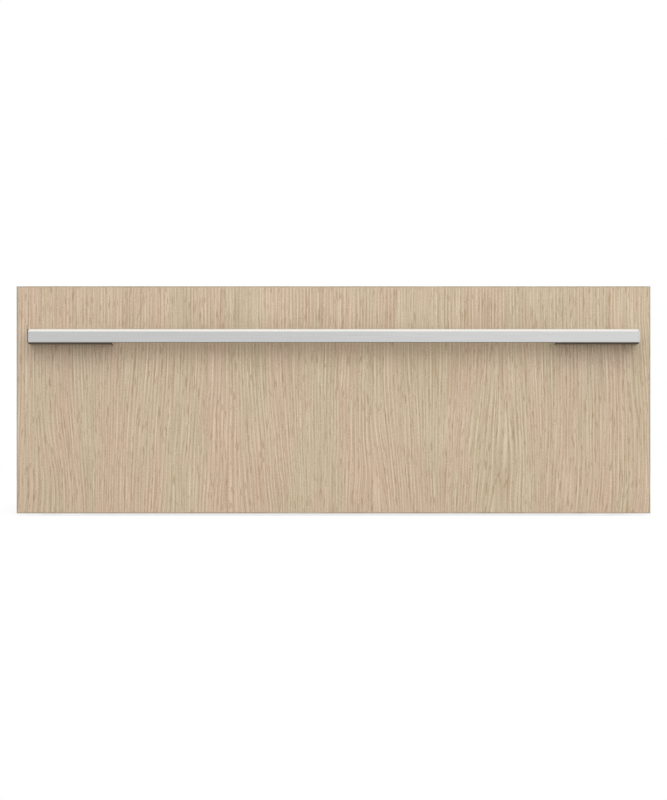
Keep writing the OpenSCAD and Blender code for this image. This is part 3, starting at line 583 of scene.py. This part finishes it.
def sheet_strip(name, corners, run, thickness, bend, made):
    """Sheet metal folded at its corners: a line through its middle is drawn out by run."""
    bpy.ops.object.select_all(action="DESELECT")
    bpy.ops.mesh.primitive_plane_add(size=1, location=(0, 0, 0))
    piece = open_new(name, made)
    bpy.ops.mesh.select_mode(type="VERT")
    bpy.ops.mesh.select_all(action="SELECT")
    bpy.ops.mesh.merge(type="CENTER")
    bpy.ops.transform.translate(value=corners[0])
    for start, end in zip(corners, corners[1:]):
        extrude(end - start)
    bpy.ops.mesh.select_all(action="SELECT")
    extrude(run)
    pick(piece, "EDGE", lambda edge: len(edge.link_faces) == 2)
    round_picked(bend)
    close_piece()
    apply_modifier(piece, "SOLIDIFY", thickness=thickness * MM, offset=0, use_even_offset=True)
    return piece


# Satin stainless is brushed duller than the handle, so its sheen is broader
drawer_steel = brushed_metal("drawer_satin_stainless", "C4C4C2", 0.36, "X", 0.7)
wall = 1.2
lip = 12 * MM
carrier = open_box("front_carrier_pressed", *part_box("front_carrier"), drawer_steel)
pick(carrier, "EDGE", lambda edge: True)
round_picked(2)
pick(carrier, "FACE", lambda face: face.normal.y < -0.99)
bpy.ops.mesh.inset(thickness=lip)
bpy.ops.mesh.delete(type="FACE")
close_piece()
apply_modifier(carrier, "SOLIDIFY", thickness=wall * MM, offset=-1, use_even_offset=True)
bore(carrier, panel_screws, -5, 24, 2.1)
fit(carrier, "drawer", "stainless_sheet", "front_carrier")


def dress(made, *node_names):
    """Gives CAD nodes their material."""
    for node_name in node_names:
        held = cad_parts[node_name].data.materials
        held.clear()
        held.append(made)


def pressed_board(name, colours, fibre):
    """Stiff mineral board: matted fibres of that length in millimetres, matt and a little rough."""
    made, add, shader, place = new_material(name)
    wisps = add("TexNoise", {"Vector": place, "Scale": 1 / (fibre * MM), "Detail": 6.0,
                             "Distortion": 2.5})
    clumps = add("TexNoise", {"Vector": place, "Scale": 1 / (8 * fibre * MM), "Detail": 2.0})
    mixed = add("Math", {0: wisps, 1: clumps}, operation="ADD")
    share = add("MapRange", {"Value": mixed, "From Min": 0.7, "From Max": 1.3})
    colour = add("MixRGB", {"Fac": share, "Color1": linear(colours[0]),
                            "Color2": linear(colours[1])})
    bump = add("Bump", {"Height": wisps, "Distance": 0.6 * MM, "Strength": 0.6})
    feed(shader, {"Base Color": colour, "Roughness": 0.95, "Specular IOR Level": 0.2,
                  "Normal": bump})
    return made


# Matt, wispy and yellowish, from the binder between the fibres
dress(pressed_board("mineral_wool_board", ("A89670", "D9CBA6"), 6), "front_insulation",
      "insulation_boards")

places = [at(x, 22, z) for x, z in panel_screws]
for piece in row(screw("panel_screw_1", places[0], (0, -1, 0), 4, 2.2, 1.95, 38.5, 14, 1.8), places):
    fit(piece, "drawer", "screw_steel", "panel_screws")


def moulded(name, colours, roughness, grain, depth, patch=40):
    """Moulded plastic or rubber, slightly uneven: a fine eroded skin of that grain and depth, and
    patches of that size, all in millimetres."""
    made, add, shader, place = new_material(name)
    skin = add("TexNoise", {"Vector": place, "Scale": 1 / (grain * MM), "Detail": 2.0})
    cloud = add("TexNoise", {"Vector": place, "Scale": 1 / (patch * MM), "Detail": 4.0})
    ramp = add("ValToRGB", {"Fac": cloud}, ((0.3, linear(colours[0])), (0.7, linear(colours[1]))))
    rough = add("MapRange", {"Value": cloud, "From Min": 0.3, "From Max": 0.7,
                             "To Min": roughness * 0.9, "To Max": roughness * 1.1})
    bump = add("Bump", {"Height": skin, "Distance": depth * MM, "Strength": 0.5})
    feed(shader, {"Base Color": ramp, "Roughness": rough, "Normal": bump})
    return made


# Silicone is matt and a little dusty, so its grey is uneven
seal_silicone = moulded("seal_moulded_silicone", ("4A4A4C", "58585A"), 0.62, 0.8, 0.05)
seal_low, seal_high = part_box("drawer_gasket")
seal_size = seal_high - seal_low
seal_width = 5.4 * MM
corner = 9 * MM
bpy.ops.object.select_all(action="DESELECT")
bpy.ops.mesh.primitive_plane_add(size=2, rotation=(math.radians(90), 0, 0), location=(
    (seal_low.x + seal_high.x) / 2, seal_low.y, (seal_low.z + seal_high.z) / 2))
bpy.context.object.scale = ((seal_size.x - seal_width) / 2, (seal_size.z - seal_width) / 2, 1)
seal = open_new("drawer_seal_moulded", seal_silicone)
bpy.ops.mesh.delete(type="ONLY_FACE")
bpy.ops.mesh.select_mode(type="VERT")
bpy.ops.mesh.select_all(action="SELECT")
bpy.ops.mesh.bevel(offset=corner, offset_type="OFFSET", segments=8, affect="VERTICES")
bpy.ops.mesh.select_all(action="SELECT")
extrude((0, seal_size.y, 0))
close_piece()
apply_modifier(seal, "SOLIDIFY", thickness=seal_width, offset=0, use_even_offset=True)
bpy.ops.object.mode_set(mode="EDIT")
pick_ends(seal, lambda end: end.y > seal_high.y - tiny, sharp)
round_picked(2.4, 5)
close_piece()
fit(seal, "drawer", "seal_silicone", "drawer_gasket")

# ---------- Drawer box ----------
# A tray of satin stainless sheet: a base with pressed beads, a slotted back for the warm air,
# and two sides whose top edges are rolled inwards. A ribbed silicone mat lies loose in it.
# Three rivets a side hold it to the runners.

# The same finish on the sides and the base, with its faint streaks front to back
side_steel = brushed_metal("drawer_side_satin_stainless", "C2C2C0", 0.36, "Y", 0.7)
dress(side_steel, "drawer_base")
dress(drawer_steel, "drawer_back")

runner_z = 75
drawer_rivet_y = (60, 240, 420)
side_length = 447 * MM
side_line = [at(x, 22, z) for x, z in ((329.4, 26), (329.4, 189.4), (322.6, 189.4), (322.6, 182))]
side = sheet_strip("drawer_side_folded_right", side_line, (0, side_length, 0), wall, 1.5,
                   side_steel)
drill(side, [(at(327, y, runner_z), at(332, y, runner_z), 2) for y in drawer_rivet_y])
fit_pair(side, "drawer", "stainless_sheet", "drawer_side_right")

# The mat is dark and matt. Its ribs keep dishes off it, so that air passes under them.
mat_silicone = moulded("mat_moulded_silicone", ("3A3A3D", "48484B"), 0.7, 0.9, 0.06)
mat_low, mat_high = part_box("drawer_mat")
web_top = mat_high.z - 1 * MM
mat = open_box("drawer_mat_ribbed", mat_low, (mat_high.x, mat_high.y, web_top), mat_silicone)
pick(mat, "EDGE", lambda edge: runs(edge, "z", tiny))
round_picked(10, 6)
pick_ends(mat, lambda end: end.z > web_top - tiny)
round_picked(0.8)
close_piece()
rib_top = 30.2
rib_pitch = 11 * MM
rib_count = 38
rib = open_box("mat_rib", at(-315, 37, 28.8), at(315, 41, rib_top), mat_silicone)
pick_ends(rib, lambda end: end.z > rib_top * MM - tiny)
round_picked(1.1, 4)
close_piece()
apply_modifier(rib, "ARRAY", count=rib_count, use_relative_offset=False,
               use_constant_offset=True, constant_offset_displace=(0, rib_pitch, 0))
join_to(mat, [rib])
fit(mat, "drawer", "mat_silicone", "drawer_mat")


def rivets(name, head_x, tail_x, places_y, body, node_name):
    """A row of pop rivets through sheet on the right-hand side, and its mirror row on the left."""
    grip = abs(tail_x - head_x)
    rings = ((0.9, -1.1), (2.2, -0.98), (3, -0.6), (3.4, 0), (1.95, 0), (1.95, grip), (2.8, grip),
             (2.6, grip + 0.6), (2, grip + 1.2))
    places = [at(head_x, y, runner_z) for y in places_y]
    way = (math.copysign(1, tail_x - head_x), 0, 0)
    for piece in row(turned(f"{name}_right_1", places[0], way, rings, screw_zinc, 16), places):
        fit_pair(piece, body, "screw_steel", node_name)


rivets("drawer_rivet", 331.2, 328.8, drawer_rivet_y, "drawer", "drawer_rivets")

# ---------- Runners ----------
# Each side has a telescopic runner of three roll-formed, zinc-plated steel members, one in the
# other, with two strips of balls between each pair. The outer member is riveted to the cavity.

# Bright zinc over rolled steel is clouded, in large patches of grey and bluish grey
runner_plate = plated_metal("runner_bright_zinc_plate", ("B4BAC0", "C6CACE", "BBC2CB"), 0.26, 45)
cavity_x = 343
chassis_rivet_y = (34, 375, 450)


def runner_strip(name, outline, y_from, y_to, thickness, bend, made):
    """Sheet folded for the right-hand runner. Its outline is u, inwards from the cavity's side, and
    v, up from the runner's middle."""
    line = [at(cavity_x - u, y_from, runner_z + v) for u, v in outline]
    return sheet_strip(name, line, (0, (y_to - y_from) * MM, 0), thickness, bend, made)


for which, outline, y_from, y_to, thickness, holes_y, body in (
        ("outer", ((10, 19.8), (10, 22.25), (0.65, 22.25), (0.65, -22.25), (10, -22.25),
                   (10, -19.8)), 28, 478, 1.24, chassis_rivet_y, "chassis"),
        ("mid", ((10.8, 14.4), (10.8, 17), (3.6, 17), (3.6, -17), (10.8, -17), (10.8, -14.4)),
         40, 470, wall, (), "mid_member_right"),
        ("inner", ((5.4, 12.6), (12.4, 12.6), (12.4, -12.6), (5.4, -12.6)), 22, 468, wall,
         drawer_rivet_y, "drawer")):
    member = runner_strip(f"runner_{which}_formed_right", outline, y_from, y_to, thickness, 0.9,
                          runner_plate)
    web_x = cavity_x - outline[len(outline) // 2][0]
    if holes_y:
        drill(member, [(at(web_x - 2, y, runner_z), at(web_x + 2, y, runner_z), 2)
                       for y in holes_y], 16)
    fit_pair(member, body, "runner_zinc", f"runner_{which}_right")
rivets("chassis_rivet", 341.7, 344.2, chassis_rivet_y, "chassis", "chassis_rivets")

# Yellow chromate on the ball strips drifts from straw to a greenish and a pinkish gold
cage_zinc = plated_metal("ball_strip_yellow_zinc", ("C2A04E", "CDB568", "BFB06A", "CFA778"), 0.3,
                         22)
# Hardened and polished, the balls are as bright as a mirror
ball_steel = plated_metal("ball_bright_bearing_steel", ("C9CACC", "D6D7D9"), 0.12, 4)

# Each strip is bent over two rows of six balls that sit in its holes
for which, web_u, leg_u, v, ball_u, radius, y_from, y_to in (
        ("outer", 2.1, 9, 19.6, 6.6, 1.9, 150, 340), ("inner", 4.8, 9.6, 14.8, 7.6, 1.5, 158, 348)):
    strip = runner_strip(f"ball_strip_{which}_right", ((leg_u, v), (web_u, v), (web_u, -v),
                                                       (leg_u, -v)), y_from, y_to, 0.8, 0.7,
                         cage_zinc)
    pitch = (y_to - y_from - 20) / 5
    ball_places = [at(cavity_x - ball_u, y_from + 10 + number * pitch, runner_z + side * v)
                   for side in (-1, 1) for number in range(6)]
    up = at(0, 0, 3) - at(0, 0, 0)
    drill(strip, [(place - up, place + up, radius + 0.05) for place in ball_places], 16)
    balls = []
    for place in ball_places:
        bpy.ops.mesh.primitive_uv_sphere_add(segments=16, ring_count=10, radius=radius * MM,
                                             location=place)
        balls.append(bpy.context.object)
        balls[-1].data.materials.append(ball_steel)
        bpy.ops.object.transform_apply()
    join_to(strip, balls)
    fit_pair(strip, f"{which}_balls_right", "cage_yellow_zinc", f"ball_cage_{which}_right")

# ---------- Casing ----------
# Folded galvanised sheet: base pan, two side walls with slots, a beaded and slotted top and a
# louvred rear cover, held by pan-head screws. It stands on four nylon pads pushed into the pan.


def galvanised(name, cell):
    """Hot-dip galvanised sheet: frost-like zinc crystals of about that size in millimetres."""
    made, add, shader, place = new_material(name)
    cell *= MM
    bend = add("TexNoise", {"Vector": place, "Scale": 1 / (0.5 * cell), "Detail": 2.0})
    moved = add("VectorMath", {0: bend.outputs["Color"], 1: (0.35 * cell,) * 3},
                operation="MULTIPLY")
    ragged = add("VectorMath", {0: place, 1: moved}, operation="ADD")
    crystals = add("TexVoronoi", {"Vector": ragged, "Scale": 1 / cell}, feature="F1")
    chance = add("SeparateXYZ", {0: crystals.outputs["Color"]}).outputs
    ramp = add("ValToRGB", {"Fac": chance["X"]}, ((0.0, linear("9DA2A6")), (0.45, linear("A5AAAE")),
                                                  (1.0, linear("AFB4B6"))))
    rough = add("MapRange", {"Value": chance["Y"], "To Min": 0.34, "To Max": 0.56})
    bump = add("Bump", {"Height": crystals, "Distance": 0.05 * MM, "Strength": 0.3})
    feed(shader, {"Base Color": ramp, "Metallic": 1.0, "Roughness": rough, "Normal": bump})
    return made


# A small spangle of about 6 mm: each crystal catches the light a little differently
dress(galvanised("casing_galvanised_sheet", 6), "base_pan", "side_wall_left", "side_wall_right",
      "top_cover", "rear_cover", "bulkhead")

for group, places, way in (
        ("top", [at(x, y, 263.2) for x in (-349, 349) for y in (60, 220, 380, 540)], (0, 0, -1)),
        ("rear", [at(x, 560, z) for x in (-349, 349) for z in (30, 130, 240)], (0, -1, 0))):
    first = screw(f"{group}_cover_screw_1", places[0], way, 3.8, 2.2, 1.65, 6, 4.8, 1.7)
    for piece in row(first, places):
        fit(piece, "chassis", "screw_steel", "cover_screws")

# Natural nylon lets light through. A little light of its own stands in for that, so that the pads
# are as pale as the floor beside them.
pad_nylon = moulded("pad_natural_nylon", ("F4F3F0", "FAFAF8"), 0.5, 0.6, 0.03)
feed(pad_nylon.node_tree.nodes["Principled BSDF"],
     {"Emission Color": linear("F4F3F0"), "Emission Strength": 0.6})
pad_rings = ((9.4, 0), (10.5, 0.35), (11, 1.2), (11, 3.5), (10.6, 4), (3, 4), (3, 5.1))
places = [at(x, y, 0) for x in (-320, 320) for y in (40, 520)]
for piece in row(turned("pad_1", places[0], (0, 0, 1), pad_rings, pad_nylon, 32), places):
    fit(piece, "chassis", "foot_nylon", "glide_feet")

# ---------- Front frame ----------
# Two folded stainless jambs carry the flanges that are screwed to the cabinet and the ledge that
# the seal meets. A rail above holds the controls, and a sill closes the bottom.

# Satin stainless again, with its faint streaks upright
frame_steel = brushed_metal("frame_satin_stainless", "C2C2C0", 0.38, "Z", 0.7)
jamb_foot = 5.2
jamb_top = 262
jamb_line = [at(x, y, jamb_foot) for x, y in ((372, -0.6), (354.2, -0.6), (354.2, 26.6),
                                              (cavity_x, 26.6))]
jamb = sheet_strip("front_jamb_folded_right", jamb_line, (0, 0, (jamb_top - jamb_foot) * MM), wall,
                   1.4, frame_steel)
bore(jamb, ((364, 40), (364, 230)), -3, 1, 2.25)
fit_pair(jamb, "chassis", "stainless_sheet", "front_jamb_right")
dress(drawer_steel, "front_top_rail", "front_sill")

# ---------- Heated cavity ----------
# A stainless liner with mineral boards round it. A perforated plate at its back lets the fan
# draw air in at the middle and blow it out at the sides.

# Duller satin stainless: the liner's streaks run front to back and the baffle's across
dress(brushed_metal("liner_satin_stainless", "BFBEBB", 0.4, "Y", 0.8), "cavity_floor",
      "cavity_ceiling", "cavity_side_left", "cavity_side_right")
dress(brushed_metal("baffle_satin_stainless", "BFBFBD", 0.42, "X", 0.8), "air_baffle")

# ---------- Heater and fan ----------
# A ring heater in a steel sheath round an aluminium fan wheel, which a shaded-pole motor with a
# laminated core turns. A cut-out and a probe in the bulkhead watch the heat.

# Red heat has left the sheath dark, with straw and bluish tints
dress(plated_metal("heater_oxidised_sheath", ("3B3632", "57504A", "4A4A50", "6A5B4A"), 0.48, 14),
      "heater_element")
# Pressed aluminium is pale, with a soft sheen that changes little over its surface
aluminium = plated_metal("fan_pressed_aluminium", ("BFC1C3", "CBCCCD", "C4C6C9"), 0.36, 30)
dress(aluminium, "fan_wheel")
# Grinding and drawing leave steel smooth, with a narrow bright sheen
shaft_steel = brushed_metal("shaft_ground_steel", "B0B1B3", 0.24, "Y", 0.4)
dress(shaft_steel, "fan_shaft")
dress(brushed_metal("probe_drawn_stainless", "B9B9B8", 0.3, "Y", 0.4), "temperature_probe")


def stacked(name, colours, pitch, axis, roughness, metallic):
    """Layers of that pitch in millimetres along one axis: edges of core sheets, or turns of wire."""
    made, add, shader, place = new_material(name)
    along = add("SeparateXYZ", {0: place}).outputs[axis]
    around = add("Math", {0: along, 1: 2 * math.pi / (pitch * MM)}, operation="MULTIPLY")
    wave = add("Math", {0: around}, operation="SINE")
    stain = add("TexNoise", {"Vector": place, "Scale": 1 / (6 * MM), "Detail": 3.0})
    mixed = add("Math", {0: wave, 1: 0.35, 2: stain}, operation="MULTIPLY_ADD")
    ramp = add("ValToRGB", {"Fac": mixed}, ((0.1, linear(colours[0])), (0.9, linear(colours[1]))))
    bump = add("Bump", {"Height": wave, "Distance": 0.1 * MM, "Strength": 0.6})
    feed(shader, {"Base Color": ramp, "Metallic": metallic, "Roughness": roughness,
                  "Normal": bump})
    return made


# Core sheets of 0.5 mm are drawn 1 mm thick, so that they show
core_sheets = stacked("motor_varnished_core", ("3A3B3F", "6B6C70"), 1, "Y", 0.5, 0.8)
dress(core_sheets, "motor_core")
# Enamelled copper wire lies turn on turn, a glossy reddish brown
dress(stacked("motor_enamelled_wire", ("7A3E1C", "B8703A"), 0.9, "Z", 0.35, 0.3), "motor_coil")
# Moulded phenolic is black, with a slight gloss
dress(moulded("cutout_moulded_phenolic", ("1B1B1C", "272728"), 0.35, 1.2, 0.03), "thermal_cutout")

# ---------- Controls ----------
# A black moulded strip in the top rail, hidden while the drawer is shut: a dark display window
# and three push buttons with plain raised marks. The circuit board with their switches hangs on
# four pegs behind it, and the power board stands on posts at the back.

# Moulded with a fine texture, so it looks matt black
strip_black = moulded("strip_moulded_abs", ("17181A", "1F2022"), 0.5, 0.7, 0.05)
strip_z = 239
button_x = (-85, 60, 88)


def cut_out(piece, *openings):
    """Cuts square openings in a closed piece. Each is its two corners."""
    bits = []
    for low, high in openings:
        bpy.ops.mesh.primitive_cube_add(size=1, location=(low + high) / 2, scale=high - low)
        bits.append(bpy.context.object)
    combine(piece, bits, "DIFFERENCE")


def rounded_box(name, low, high, made, radius):
    """A closed box with all its edges rounded a little."""
    piece = open_box(name, low, high, made)
    pick(piece, "EDGE", lambda edge: True)
    round_picked(radius, 2)
    close_piece()
    return piece


strip = rounded_box("control_strip_moulded", at(-112, 24.8, 226), at(112, 26, 252), strip_black, 0.35)
collar = rounded_box("strip_collar", at(-104.8, 25.5, 229.2), at(104.8, 38, 248.8), strip_black, 0.35)
pegs = [turned("strip_peg", at(x, 37.5, z), (0, 1, 0), ((1.2, 0), (1.2, 2), (0.9, 2.5)), strip_black)
        for x in (-103, 103) for z in (232, 246)]
combine(strip, [collar])
combine(strip, pegs)
cut_out(strip, (at(-101, 28, 230.6), at(101, 39, 247.4)))
cut_out(strip, *[(at(x - 9.3, 24, 232.7), at(x + 9.3, 29, 245.3)) for x in button_x],
        (at(-36.1, 24, 232), at(36.1, 26.8, 246)))
cut_out(strip, (at(-33, 24, 234), at(33, 29, 244)))
fit(strip, "chassis", "control_black", "control_fascia")

# Polished tinted acrylic: black and mirror-like while the display is off
lens_black = moulded("display_tinted_acrylic", ("050607", "0A0B0D"), 0.06, 3, 0.004)
fit(rounded_box("display_window", *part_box("display_lens"), lens_black, 0.4), "chassis",
    "display_black", "display_lens")

# The buttons' grey plastic has a low gloss, and their marks are pale so that they show on it
button_grey = moulded("button_moulded_abs", ("55585B", "606366"), 0.45, 0.6, 0.04)
mark_grey = moulded("mark_moulded_abs", ("C6C8C9", "D0D2D2"), 0.4, 0.6, 0.02)
dish_margin = 2.2 * MM
dish_depth = 0.35 * MM


def button(node_name, x, ribs, ringed, body):
    """A push button: a dished cap with raised marks, a collar behind the strip, and its stem."""
    face_y = 23.6
    cap = open_box(f"{node_name}_cap", at(x - 9, face_y, 233), at(x + 9, 28.3, 245), button_grey)
    pick(cap, "EDGE", lambda edge: runs(edge, "y"))
    round_picked(1.3, 4)
    pick_ends(cap, lambda end: end.y < at(0, face_y, 0).y + tiny)
    round_picked(0.45)
    pick(cap, "FACE", lambda face: face.normal.y < -0.99)
    bpy.ops.mesh.inset(thickness=dish_margin)
    bpy.ops.transform.translate(value=(0, dish_depth, 0))
    close_piece()
    combine(cap, [rounded_box("button_collar", at(x - 10.5, 28.1, 231.8), at(x + 10.5, 29.3, 246.2),
                              button_grey, 0.25)])
    stem_start = at(x, 29.1, strip_z)
    length = (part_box(node_name)[1].y - stem_start.y) / MM
    combine(cap, [turned("button_stem", stem_start, (0, 1, 0), ((2, 0), (2, length - 0.5),
                                                                (1.5, length)), button_grey)])
    marks = [rounded_box("button_mark", at(x + low_x, 23.65, strip_z + low_z),
                         at(x + high_x, 24.1, strip_z + high_z), mark_grey, 0.12)
             for low_x, low_z, high_x, high_z in ribs]
    if ringed:
        marks.append(turned("button_mark", at(x, 24.1, strip_z), (0, -1, 0),
                            ((2.9, 0), (2.9, 0.3), (2.75, 0.42), (2.45, 0.42), (2.3, 0.3),
                             (2.3, 0.16)), mark_grey, 32))
    combine(marks[0], marks[1:])
    join_to(cap, marks[:1])
    fit(cap, body, "button_grey", node_name)


# On and off has a ring and an upright rib, heat has three ribs, and time a ring with two hands
button("button_power", button_x[0], ((-0.3, 0.6, 0.3, 4.2),), True, "power_button")
button("button_heat", button_x[1], [(x - 0.3, -2.4, x + 0.3, 2.4) for x in (-2.5, 0, 2.5)], False,
       "heat_button")
button("button_timer", button_x[2], ((-0.25, -0.25, 0.25, 1.9), (0.35, -0.25, 1.5, 0.25)), True,
       "timer_button")


def circuit_board(name, mask, bare):
    """Green lacquer over copper tracks about 1.5 mm wide, with tinned pads."""
    made, add, shader, place = new_material(name)
    cells = add("TexVoronoi", {"Vector": place, "Scale": 1 / (7 * MM)}, feature="F1",
                distance="CHEBYCHEV")
    tracks = add("MapRange", {"Value": cells, "From Min": 0.4, "From Max": 0.46})
    colour = add("MixRGB", {"Fac": tracks, "Color1": linear(mask), "Color2": linear(bare)})
    bump = add("Bump", {"Height": tracks, "Distance": 0.05 * MM, "Strength": 0.5})
    feed(shader, {"Base Color": colour, "Roughness": 0.3, "Normal": bump})
    return made


board_green = circuit_board("board_green_lacquer", "174A2A", "256B3C")
# Nylon looks milky or black and half matt, and the shrunk sleeve of a can is smooth and glossy
plug_white = moulded("plug_moulded_nylon", ("DAD8D0", "E6E4DD"), 0.45, 0.8, 0.03)
sleeve_black = moulded("capacitor_shrunk_sleeve", ("16171B", "22242A"), 0.3, 2, 0.02)
switch_black = moulded("switch_moulded_nylon", ("202022", "2A2A2D"), 0.5, 0.8, 0.04)


def capacitor(x, z, base_y, radius, height):
    """A can in a black sleeve with a groove near its foot and a bare aluminium top."""
    can = turned("capacitor", at(x, base_y, z), (0, 1, 0),
                 ((radius * 0.94, 0), (radius, 0.4), (radius, 1.4), (radius * 0.93, 1.8),
                  (radius, 2.2), (radius, height - 0.5), (radius * 0.9, height)), sleeve_black)
    bpy.ops.object.mode_set(mode="EDIT")
    pick(can, "FACE", lambda face: face.normal.y > 0.9)
    paint_picked(can, aluminium)
    close_piece()
    return can


def blocks(rows):
    """Rounded boxes: each is a name, two corners in millimetres, a material and a radius."""
    return [rounded_box(name, at(*low), at(*high), made, radius)
            for name, low, high, made, radius in rows]


# On the control board: the display's housing, a processor, a plug, three switches, four cans
control_board = rounded_box("control_board_fitted", at(-104, 40, 226), at(104, 41.6, 252),
                            board_green, 0.15)
parts = blocks([("display_housing", (-32, 29, 234.2), (32, 40, 243.8), switch_black, 0.4),
                ("processor", (-20, 41.6, 232), (0, 43.6, 246), switch_black, 0.3),
                ("plug", (72, 41.6, 234), (88, 48, 244), plug_white, 0.4)])
parts += blocks([("switch", (x - 3, 37.5, 236), (x + 3, 40, 242), switch_black, 0.3)
                 for x in button_x])
parts += [turned("switch_plunger", at(x, 37.5, strip_z), (0, -1, 0), ((1.6, 0), (1.6, 0.8), (1.4, 1)),
                 plug_white) for x in button_x]
parts += [capacitor(x, strip_z, 41.6, 3, 7.4) for x in (-70, -50, 20, 40)]
join_to(control_board, parts)
fit(control_board, "chassis", "board_green", "control_board")

# On the power board: a transformer, two relays, two cans, the mains terminals and two plugs
# The tape and the relays' cases are smooth and glossy, and the terminals' nylon is duller
tape_yellow = moulded("transformer_polyester_tape", ("C9A53A", "D9B94F"), 0.35, 6, 0.05)
relay_blue = moulded("relay_moulded_case", ("25406E", "2F4C7E"), 0.35, 0.8, 0.02)
terminal_green = moulded("terminal_moulded_nylon", ("3B7A4A", "468A56"), 0.45, 0.8, 0.03)
power_y = 533
face_y = 534.6
power_board = rounded_box("power_board_fitted", at(130, power_y, 60), at(290, face_y, 180),
                          board_green, 0.15)
parts = blocks([("terminals", (180, face_y, 64), (240, 548.6, 78), terminal_green, 0.5),
                ("core", (140, face_y, 116), (185, 552.6, 144), core_sheets, 0.5),
                ("winding", (148, 535.5, 110), (177, 554.6, 150), tape_yellow, 1.5),
                ("relay", (195, face_y, 120), (210, 550.6, 148), relay_blue, 0.6),
                ("relay", (215, face_y, 120), (230, 550.6, 148), relay_blue, 0.6),
                ("plug", (192, face_y, 162), (208, 543.6, 172), plug_white, 0.5),
                ("plug", (140, face_y, 82), (156, 543.6, 90), plug_white, 0.5)])
bore(parts[0], [(x, 71) for x in range(185, 240, 10)], 545, 550, 2.2)
parts += [capacitor(x, 135, face_y, 6, 18) for x in (245, 262)]
post_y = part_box("power_board")[0].y / MM - chassis_front
parts += [turned("board_post", at(x, post_y, z), (0, 1, 0), ((2.5, 0), (2.5, power_y - post_y)),
                 shaft_steel) for x in (136, 284) for z in (66, 174)]
join_to(power_board, parts)
fit(power_board, "chassis", "board_green", "power_board")

# ---------- Cord gland and wires ----------
# The mains cord enters through a nylon gland in the rear cover: a hexagon and a domed cap outside,
# a threaded barrel and its nut inside. Sleeved wires run from the power board to the rest.

# Black nylon as it comes from the mould, half matt
gland_nylon = moulded("gland_moulded_nylon", ("1E1E20", "29292B"), 0.42, 0.6, 0.04)
gland_x, gland_z = 210, 35
thread = [(7, 0)]
for turn in range(7):
    thread += [(radius, along + 1.6 * turn) for radius, along in ((7.8, 0.7), (7.8, 1.1), (7, 1.5),
                                                                 (7, 1.9))]
gland = [turned(f"gland_{part}", at(gland_x, y, gland_z), (0, 1, 0), rings, gland_nylon, sides)
         for part, y, rings, sides in (
             ("body", 560, ((10.9, 0), (12, 0.7), (12, 4.3), (10.9, 5)), 6),
             ("cap", 564.9, ((9.5, 0), (9.5, 3.4), (9.2, 5), (8.5, 6.6), (7.4, 7.8), (6.2, 8.6)), 32),
             ("thread", 547.8, thread + [(7, 12.6)], 32),
             ("nut", 552.8, ((10.9, 0), (12, 0.7), (12, 5.3), (10.9, 6)), 6))]
for part in gland:
    bore(part, ((gland_x, gland_z),), 540, 580, 4.5, 32)
join_to(gland[0], gland[1:])
fit(gland[0], "chassis", "gland_nylon", "cable_gland")
# The braided sleeves are cream, ribbed and quite matt
dress(stacked("wire_braided_sleeve", ("B9B4A6", "DAD6C9"), 1.2, "X", 0.75, 0.0), "wiring_loom")
